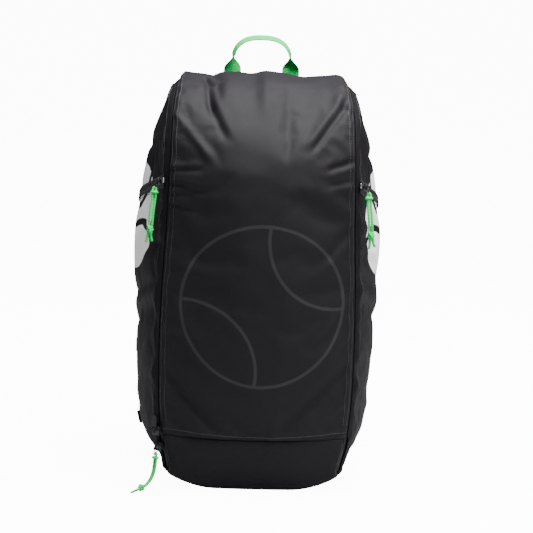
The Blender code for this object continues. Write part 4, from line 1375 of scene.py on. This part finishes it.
def make_shoulder_strap(side, word):
    """Padded strap: fabric outside, spacer mesh towards the wearer, bound edges, webbing."""
    body = f"shoulder_strap_{word}"
    path, _, depth, across, taper, share = strap_frames(side)
    angles = np.linspace(0, 2 * math.pi, 48, endpoint=False)
    cosines, sines = np.cos(angles), np.sin(angles)
    wide = np.sign(cosines) * np.abs(cosines) ** 0.55
    thick = np.sign(sines) * np.abs(sines) ** 0.9
    fade = 1 - 0.55 * ease(0.94, 1.0, share) - 0.35 * (1 - ease(0.0, 0.05, share))
    half_w = (STRAP_WIDTH / 2 - 0.0022) * taper
    half_t = (STRAP_THICK / 2 - 0.0003) * fade
    points = (path[:, None] + across[:, None] * (half_w[:, None] * wide)[..., None]
              + depth[:, None] * (half_t[:, None] * thick)[..., None])
    soft = noise_field(points, 38, 3.0 * side) * 0.0007
    groove = np.exp(-((np.abs(half_w[:, None] * wide) - (half_w[:, None] - 0.0065)) / 0.0016) ** 2)
    inward = -(soft + 0.0010 * groove)[..., None] * depth[:, None] * np.sign(thick)[..., None]
    points = points + inward
    rows, cols = points.shape[:2]
    faces = grid_faces(rows, cols, wrap=True)
    faces += [tuple(range(cols)), tuple(range((rows - 1) * cols, rows * cols))]
    run_length = np.linspace(0, 0.34, rows)
    uvs = np.stack([half_w[:, None] * wide * np.ones((rows, 1)),
                    np.repeat(run_length[:, None], cols, axis=1)], -1)
    item = mesh_object(f"{word}_strap_pad", points, faces, uvs)
    fix_normals(item)
    dress(item, CLOTH, body, "shell_fabric", body)
    item.data.materials.append(SPACER)
    for face in item.data.polygons:
        face.material_index = 1 if face.normal.y < -0.05 else 0

    for edge, name in ((-1, "inner"), (1, "outer")):
        line = path + across * (edge * (half_w + 0.0002))[:, None]
        section = np.stack([np.cos(angles[::4]) * 0.0021, np.sin(angles[::4]) * 0.0028], -1)
        binding = sweep(f"{word}_strap_binding_{name}", line, across, section)
        dress(binding, BLACK_WEBBING, body, "shell_fabric")
        for face, ups in ((1, depth), (-1, -depth)):
            rows_out = path + across * (edge * (half_w - 0.0068))[:, None] \
                + ups * (half_t * 0.93 - 0.0009)[:, None]
            add_stitches(body, rows_out[6:-4], ups[6:-4])

    strip = path + depth * (half_t + 0.0006)[:, None]
    item = sweep(f"{word}_strap_webbing_strip", strip[8:], across[8:],
                 webbing_section(0.020, 0.0014))
    dress(item, BLACK_WEBBING, body, "shell_fabric")
    for offset in (-0.0080, 0.0080):
        add_stitches(body, strip[10:-2] + across[10:-2] * offset + depth[10:-2] * 0.0007,
                     depth[10:-2])
    # the loop of webbing that holds the ladder lock
    x, y, z = LOCK_CENTRE
    low = np.array([side * (x - 0.0005), y + 0.0042, z + 0.0030])
    top = path[-9] + depth[-9] * (half_t[-9] + 0.0017)
    bar = np.array([side * (x - 0.0002), y, z + 0.0016])
    back = np.array([side * (x - 0.0005), y - 0.0042, z + 0.0035])
    under = path[-3] - depth[-3] * 0.0048 + np.array([0, 0, 0.001])
    loop = smooth_path([top, (top + low) / 2 + np.array([0, 0.001, 0]), low, bar, back, under], 40)
    item = sweep(f"{word}_lock_loop", loop, np.repeat([[1.0, 0, 0]], 40, axis=0),
                 webbing_section(0.0235, 0.0014))
    dress(item, BLACK_WEBBING, body, "shell_fabric")


def make_strap_foot(side, word):
    """Green webbing from the sewn wing up through the ladder lock, with its hemmed tail."""
    body = f"strap_webbing_{word}"
    x, y, z = LOCK_CENTRE
    x0, y0, z0 = STRAP_FOOT
    points = [(x0, y0 + 0.0008, z0 - 0.0012), (x0, y0 + 0.0014, z0 + 0.003),
              (x0 + 0.001, y0 + 0.0085, z0 + 0.036), (x - 0.0012, y - 0.0016, z - 0.0135),
              (x - 0.0008, y + 0.0002, z - 0.0062), (x - 0.0005, y + 0.0046, z - 0.0020),
              (x - 0.0005, y + 0.0056, z + 0.0070), (x - 0.0030, y + 0.0092, z + 0.0180),
              (x - 0.0070, y + 0.0094, z + 0.0340)]
    path = smooth_path([(side * a, b, c) for a, b, c in points], 80)
    dirs = np.repeat([[1.0, 0, 0.04 * side]], 80, axis=0)
    section = np.repeat(np.array(webbing_section(FOOT_WIDTH, WEB_THICK))[None], 80, axis=0)
    section[-9:, :, 1] *= 1.9
    item = sweep(f"{word}_foot_webbing", path, dirs, section)
    dress(item, GREEN_WEBBING, body, "green_webbing", body)
    sewn = np.linspace((side * (x0 - 0.0008), y0 + 0.0004, z0 - 0.0140),
                       (side * x0, y0 + 0.0006, z0 + 0.0004), 16)
    item = sweep(f"{word}_foot_sewn_end", sewn, dirs[:16], webbing_section(FOOT_WIDTH, 0.0016))
    dress(item, GREEN_WEBBING, "bag_body", "green_webbing")
    wing = [(0.098, 0.0240), (0.1450, 0.0300), (0.1490, 0.0455), (0.1200, 0.0560),
            (0.0985, 0.0560)]
    outline = np.array([(side * a, b) for a, b in wing])
    rings = []
    middle = outline.mean(axis=0)
    for share, height in ((1.0, 0.0), (1.0, 0.0013), (0.975, 0.0020), (0.9, 0.0021), (0.0, 0.0022)):
        fine = np.vstack([np.linspace(a, b, 9)[:-1]
                          for a, b in zip(outline, np.roll(outline, -1, axis=0))])
        flat = middle + (fine - middle) * share
        rings.append(np.stack([flat[:, 0], np.full(len(flat), 0.1089 + height), flat[:, 1]], -1))
    points = np.array(rings)
    ring = points.shape[1]
    faces = grid_faces(len(points), ring, wrap=True) + [tuple(range(ring))]
    item = mesh_object(f"{word}_anchor_wing", points, faces, points[..., [0, 2]])
    weld_points(item)
    dress(item, BLACK_WEBBING, "bag_body", "black_plastic", f"strap_anchor_{word}")
    back = np.array([0, 1.0, 0])
    for a, b in zip(outline, np.roll(outline, -1, axis=0)):
        a2, b2 = middle + (a - middle) * 0.82, middle + (b - middle) * 0.82
        line = np.linspace((a2[0], 0.1110, a2[1]), (b2[0], 0.1110, b2[1]), 14)
        add_stitches("bag_body", line, np.repeat(back[None], 14, axis=0))


def weld_points(item, distance=0.00001):
    work = bmesh.new()
    work.from_mesh(item.data)
    bmesh.ops.remove_doubles(work, verts=work.verts, dist=distance)
    bmesh.ops.recalc_face_normals(work, faces=work.faces)
    work.to_mesh(item.data)
    work.free()


# ---------------------------------------------------------------- back

PAD_Y, PAD_THICK = 0.1089, 0.010


def round_rect(u, v, half_w, half_h, radius):
    """Square grid coordinates -1..1 mapped onto a rectangle with round corners."""
    a, b = np.abs(u), np.abs(v)
    edge = np.maximum(a, b)
    blend = ease(0.55, 1.0, edge)
    dx, dy = half_w * a, half_h * b
    over_x, over_y = np.maximum(dx - (half_w - radius), 0), np.maximum(dy - (half_h - radius), 0)
    far = np.sqrt(over_x ** 2 + over_y ** 2)
    want = np.maximum(over_x, over_y)
    scale = np.where(far > 1e-9, want / np.maximum(far, 1e-9), 1)
    scale = 1 + (scale - 1) * blend
    x = np.where(over_x > 0, half_w - radius + over_x * scale, dx)
    y = np.where(over_y > 0, half_h - radius + over_y * scale, dy)
    return np.sign(u) * x, np.sign(v) * y


def make_pad(name, x0, x1, z0, z1, channels, node):
    """Moulded back pad: crowned foam under spacer mesh, with sewn channels across."""
    half_w, half_h = (x1 - x0) / 2, (z1 - z0) / 2
    line = np.sin(np.linspace(-math.pi / 2, math.pi / 2, 61))
    tall = np.linspace(-1, 1, 121)
    tall = np.sign(tall) * (1 - (1 - np.abs(tall)) ** 1.25)
    v, u = np.meshgrid(tall, line, indexing="ij")
    x, z = round_rect(u, v, half_w, half_h, 0.020)
    x, z = x + (x0 + x1) / 2, z + (z0 + z1) / 2
    wide = (1 - np.abs(u) ** 5) ** 0.45 * (1 - np.abs(v) ** 14) ** 0.45
    top = PAD_THICK * wide * (0.90 + 0.10 * (1 - u ** 2))
    for at in channels:
        groove = np.exp(-((z - at - 0.006 * (1 - u ** 2)) / 0.0030) ** 2)
        top *= 1 - 0.42 * groove
    flat = np.stack([x, np.full_like(x, PAD_Y), z], -1)
    top = top * (1 - 0.05 * noise_field(flat, 30, 2.0))
    crown = flat + np.stack([np.zeros_like(x), top, np.zeros_like(x)], -1)
    rows, cols = x.shape
    faces = grid_faces(rows, cols)
    faces += [tuple(rows * cols + k for k in face[::-1]) for face in grid_faces(rows, cols)]
    points = np.concatenate([crown.reshape(-1, 3), flat.reshape(-1, 3)])
    uvs = np.concatenate([np.stack([x, z], -1).reshape(-1, 2)] * 2)
    item = mesh_object(name, points, faces, uvs)
    weld_points(item)
    dress(item, SPACER, "bag_body", "mesh_fabric", node)
    for at in channels:
        run = np.linspace(-0.93, 0.93, 40)
        heights = at + 0.006 * (1 - run ** 2)
        depth = PAD_Y + PAD_THICK * 0.565 * (1 - np.abs(run) ** 5) ** 0.45
        line = np.stack([(x0 + x1) / 2 + half_w * run, depth, heights], -1)
        add_stitches("bag_body", line, np.repeat([[0, 1.0, 0]], 40, axis=0), -0.0002)


def make_back():
    half = through(BACK_HALF_WIDTH, np.linspace(0.006, 0.4695, 150)) + 0.002
    z = np.linspace(0.006, 0.4695, 150)
    u = np.linspace(-1, 1, 91)
    x = half[:, None] * u
    flat = np.stack([x, np.full_like(x, 0.1085), np.repeat(z[:, None], 91, axis=1)], -1)
    edge = np.minimum(half[:, None] * (1 - np.abs(u)), np.minimum(z - z[0], z[-1] - z)[:, None])
    flat[..., 1] -= 0.0030 * (1 - ease(0.0, 0.007, edge)) \
        + 0.0009 * np.maximum(noise_field(flat, 24, 5.0), 0) * ease(0, 0.01, edge)
    flat = settle(flat)
    item = mesh_object("back_mesh", flat, grid_faces(150, 91), grid_metres(flat))
    if sum(f.normal.y for f in item.data.polygons) < 0:
        item.data.flip_normals()
    item.data.materials.append(SPACER)
    thicken(item, 0.0048, LINING)
    settle_item(item, "bag_body", "mesh_fabric", "back_panel")
    make_pad("left_back_cushion", -0.092, -0.012, 0.122, 0.390, (0.205, 0.295), "back_pad_left")
    make_pad("right_back_cushion", 0.012, 0.092, 0.122, 0.390, (0.205, 0.295), "back_pad_right")
    make_pad("lumbar_cushion", -0.092, 0.092, 0.030, 0.110, (), "lumbar_pad")

    zs = np.linspace(0.012, 0.440, 120)
    for side, word in ((-1, "left"), (1, "right")):
        line = np.stack([side * (through(BACK_HALF_WIDTH, zs) + 0.0052), np.full(120, 0.1045), zs], -1)
        item = round_tube(f"{word}_edge_piping", settle(line), 0.0018, 12)
        dress(item, CLOTH, "bag_body", "shell_fabric", f"back_piping_{word}")
        flange = line[:, None] + np.array([[side * o, 0.0, 0] for o in (-0.0060, -0.0016)])
        flange = settle(flange)
        strip = mesh_object(f"{word}_piping_flange", flange, grid_faces(120, 2), grid_metres(flange))
        thicken(strip, 0.0008, offset=0)
        dress(strip, CLOTH, "bag_body", "shell_fabric")

    line, tall = np.linspace(-1, 1, 81), np.linspace(-1, 1, 31)
    v, u = np.meshgrid(tall, line, indexing="ij")
    x, z = round_rect(u, v, 0.088, 0.03025, 0.014)
    z = z + 0.43225
    rim = np.minimum(0.088 - np.abs(x), 0.03025 - np.abs(z - 0.43225))
    face = np.stack([x, 0.1089 + 0.0007 + 0.0013 * ease(0, 0.003, rim)
                     + 0.0002 * noise_field(np.stack([x, z, z], -1), 60, 1.0), z], -1)
    item = mesh_object("yoke_fabric", face, grid_faces(31, 81), grid_metres(face))
    if sum(f.normal.y for f in item.data.polygons) < 0:
        item.data.flip_normals()
    item.data.materials.append(CLOTH)
    thicken(item, 0.0018, CLOTH)
    settle_item(item, "bag_body", "shell_fabric", "strap_yoke")
    for inset in (0.0030, 0.0075):
        a = np.linspace(0, 2 * math.pi, 200)
        square_u = np.clip(1.42 * np.cos(a), -1, 1)
        square_v = np.clip(1.42 * np.sin(a), -1, 1)
        x, z = round_rect(square_u, square_v, 0.088 - inset, 0.03025 - inset, 0.012)
        ring = np.stack([x, np.full_like(x, 0.1089 + 0.0021), z + 0.43225], -1)
        add_stitches("bag_body", ring, np.repeat([[0, 1.0, 0]], 200, axis=0))


def make_yoke_flap():
    """Fabric flap sewn along the top of the yoke, folded down over the straps' ends."""
    u, w = np.meshgrid(np.linspace(-1, 1, 121), np.linspace(0, 1, 30), indexing="xy")
    x = 0.0800 * u
    over = ease(0.008, 0.019, np.abs(x)) * (1 - ease(0.0725, 0.0795, np.abs(x)))
    rise = np.sin(np.clip(w / 0.62, 0, 1) * math.pi / 2) ** 0.8
    y = 0.1112 + 0.0204 * rise * (0.10 + 0.90 * over)
    z = 0.4622 - 0.0045 * w - 0.0165 * w ** 1.4 - 0.0012 * over * (1 - w)
    face = np.stack([x, y, z], -1)
    face[..., 1] += 0.0004 * noise_field(face, 60, 2.5) * rise
    item = mesh_object("yoke_flap", face, grid_faces(30, 121), grid_metres(face))
    if sum(f.normal.y for f in item.data.polygons) < 0:
        item.data.flip_normals()
    item.data.materials.append(CLOTH)
    thicken(item, 0.0010, CLOTH)
    settle_item(item, "bag_body", "shell_fabric")
    ups = grid_normals(face)
    ups *= np.sign(ups[..., 1:2])
    for row in (3, -3):
        add_stitches("bag_body", face[row, 4:-4], ups[row, 4:-4])


# ---------------------------------------------------------------- sliders

SLIDER = (0.008, 0.011, 0.0045)
SLIDER_LIFT = 0.0016
OVER_CHAIN = 0.0035                           # the front sliders' plates reach over the teeth
BRIDGE_R, BRIDGE_WIRE = 0.0026, 0.0006


def brick(name, size, place, frame):
    """One block with rounded edges, set in a frame of its own."""
    return scatter(name, *rounded_brick(size), np.array([place]), np.array([frame]))


def make_slider(node, body, origin, across, along, out, bridge_across):
    """Zip slider: two plates on a post with bent-in rails, and a wire bridge on top."""
    frame = np.stack([across, along, out])
    width, length, height = SLIDER
    over = 0.0 if bridge_across else OVER_CHAIN
    width += over
    top = SLIDER_LIFT + height
    layout = [((width, length, 0.0013), (0, 0, top - 0.00065)),
              ((width * 0.92, length * 0.80, 0.0006), (0, 0.0002, top + 0.0001)),
              ((width * 0.90, length * 0.92, 0.0010), (0, 0, SLIDER_LIFT + 0.0005)),
              ((0.0020, 0.0030, height), (0, length * 0.26, SLIDER_LIFT + height / 2)),
              ((0.0009, length * 0.74, 0.0017), (-width / 2 + 0.0006, -0.001, top - 0.0018)),
              ((0.0009, length * 0.74, 0.0017), (width / 2 - 0.0006, -0.001, top - 0.0018))]
    block = origin - across * over / 2
    pieces = [brick(f"{node}_bit_{i}", size, block + np.array(place) @ frame, frame)
              for i, (size, place) in enumerate(layout)]
    run = along if bridge_across is False else across
    centre = origin + out * (top + 0.0002)
    span = BRIDGE_R
    arc = [centre + run * span * math.cos(a) + out * BRIDGE_R * math.sin(a)
           for a in np.linspace(-0.25, math.pi + 0.25, 17)]
    pieces.append(round_tube(f"{node}_bridge", arc, BRIDGE_WIRE + 0.0001, 10))
    item = joined(f"{node}_body", pieces)
    dress(item, NICKEL, body, "dark_metal", node)


def front_slider_frame(height):
    """Place of a front slider, on the body's half of the chain, as in the part."""
    places = np.interp([0.074, 0.345, height], HEIGHT_Z, HEIGHTS)
    centre, across, out = zip_frame(-1, places)
    along = unit(centre[1] - centre[0])
    side = unit(across[2] - along * np.dot(across[2], along))
    up = np.cross(along, side)
    up = up if np.dot(up, out[2]) > 0 else -up
    return centre[2] + side * (SLIDER[0] / 2 + 0.0007), side, along, up


def side_slider_frame(side):
    start, end = side_at(side, *np.array([SIDE_ZIP_START, SIDE_ZIP_END]).T)
    along = unit(end - start)
    out = np.cross(along, [0, 0, 1.0])
    out = unit(out * np.sign(out[0] * side))
    return start + out * TAPE_LIFT, unit(np.cross(along, out)), along, out


def make_sliders():
    for word, height in (("upper", 0.074), ("lower", 0.054)):
        make_slider(f"front_{word}_slider", f"front_{word}_slider",
                    *front_slider_frame(height), False)
    for side, word in ((-1, "left"), (1, "right")):
        make_slider(f"side_slider_{word}", f"side_slider_{word}", *side_slider_frame(side), True)


# ---------------------------------------------------------------- inside


QUILT_PITCH = 0.05                            # the divider's diamonds, along and across


def make_sleeve():
    """Padded divider for the rackets, quilted, with a bound top edge."""
    z = np.linspace(0.010, 0.360, 110)
    half = side_at(1, 0.047, z)[:, 0] - 0.014
    u = np.linspace(-1, 1, 81)
    x = half[:, None] * u
    edge = np.minimum(half[:, None] * (1 - np.abs(u)), np.minimum(z - z[0], z[-1] - z)[:, None])
    flat = np.stack([x, np.full_like(x, 0.0452), np.repeat(z[:, None], 81, axis=1)], -1)
    quilt = np.abs(np.sin(math.pi * (x + flat[..., 2]) / QUILT_PITCH)
                   * np.sin(math.pi * (x - flat[..., 2]) / QUILT_PITCH)) ** 0.5
    flat[..., 1] += 0.0014 * (1 - ease(0, 0.004, edge)) + 0.0008 * (1 - quilt)
    item = mesh_object("divider_fabric", flat, grid_faces(110, 81), grid_metres(flat))
    if sum(f.normal.y for f in item.data.polygons) > 0:
        item.data.flip_normals()
    item.data.materials.append(LINING)
    thicken(item, 0.0024, LINING)
    settle_item(item, "bag_body", "lining_fabric", "racket_sleeve")
    line = np.stack([np.linspace(-half[-1], half[-1], 60), np.full(60, 0.0470),
                     np.full(60, 0.3590)], -1)
    binding = sweep("divider_binding", line, np.repeat([[0, 1.0, 0]], 60, axis=0),
                    webbing_section(0.0042, 0.0036))
    dress(binding, BLACK_WEBBING, "bag_body", "lining_fabric")


def make_pocket(side, word):
    """The pouch hanging behind a side pocket's zip: a soft folded sheet of lining."""
    z, y = np.meshgrid(np.linspace(0.150, 0.3345, 70), np.linspace(-0.0575, 0.0300, 45),
                       indexing="ij")
    points = side_at(side, y, z, inset=0.0135)
    edge = np.minimum(np.minimum(y + 0.0575, 0.03 - y), z - 0.150)
    points[..., 0] += side * (0.0009 * noise_field(points, 70, 4.0 * side) * ease(0, 0.01, edge)
                              + 0.0008 * (1 - ease(0, 0.005, edge)))
    item = mesh_object(f"{word}_pocket_pouch", points, grid_faces(70, 45), grid_metres(points))
    if sum(f.normal.x for f in item.data.polygons) * side < 0:
        item.data.flip_normals()
    item.data.materials.append(LINING)
    thicken(item, 0.0008, LINING, offset=0)
    settle_item(item, "bag_body", "lining_fabric", f"{word}_pocket_lining")


# ---------------------------------------------------------------- parts kept from the model


def coat(node, material, round_edge=0.0):
    item = bpy.data.objects[node]
    item.data.materials.clear()
    item.data.materials.append(material)
    if round_edge:
        modifier = item.modifiers.new("soft_edges", "BEVEL")
        modifier.width = round_edge
        modifier.segments = 2
        modifier.limit_method = "ANGLE"
        modifier.angle_limit = math.radians(40)


make_front_zip()
make_handle()
make_back()
make_yoke_flap()
make_sleeve()
make_sliders()
for SIDE, WORD in ((-1, "left"), (1, "right")):
    make_side_zip(SIDE, WORD)
    make_shoulder_strap(SIDE, WORD)
    make_strap_foot(SIDE, WORD)
    make_pocket(SIDE, WORD)
    coat(f"side_pull_ring_{WORD}", NICKEL)
    coat(f"side_zip_stop_{WORD}", STEEL)
    coat(f"ladder_lock_{WORD}", ACETAL, 0.0007)
coat("front_lower_pull_ring", NICKEL)
coat("front_upper_pull", ACETAL, 0.0003)
coat("back_stiffener", BOARD)
make_stitches()
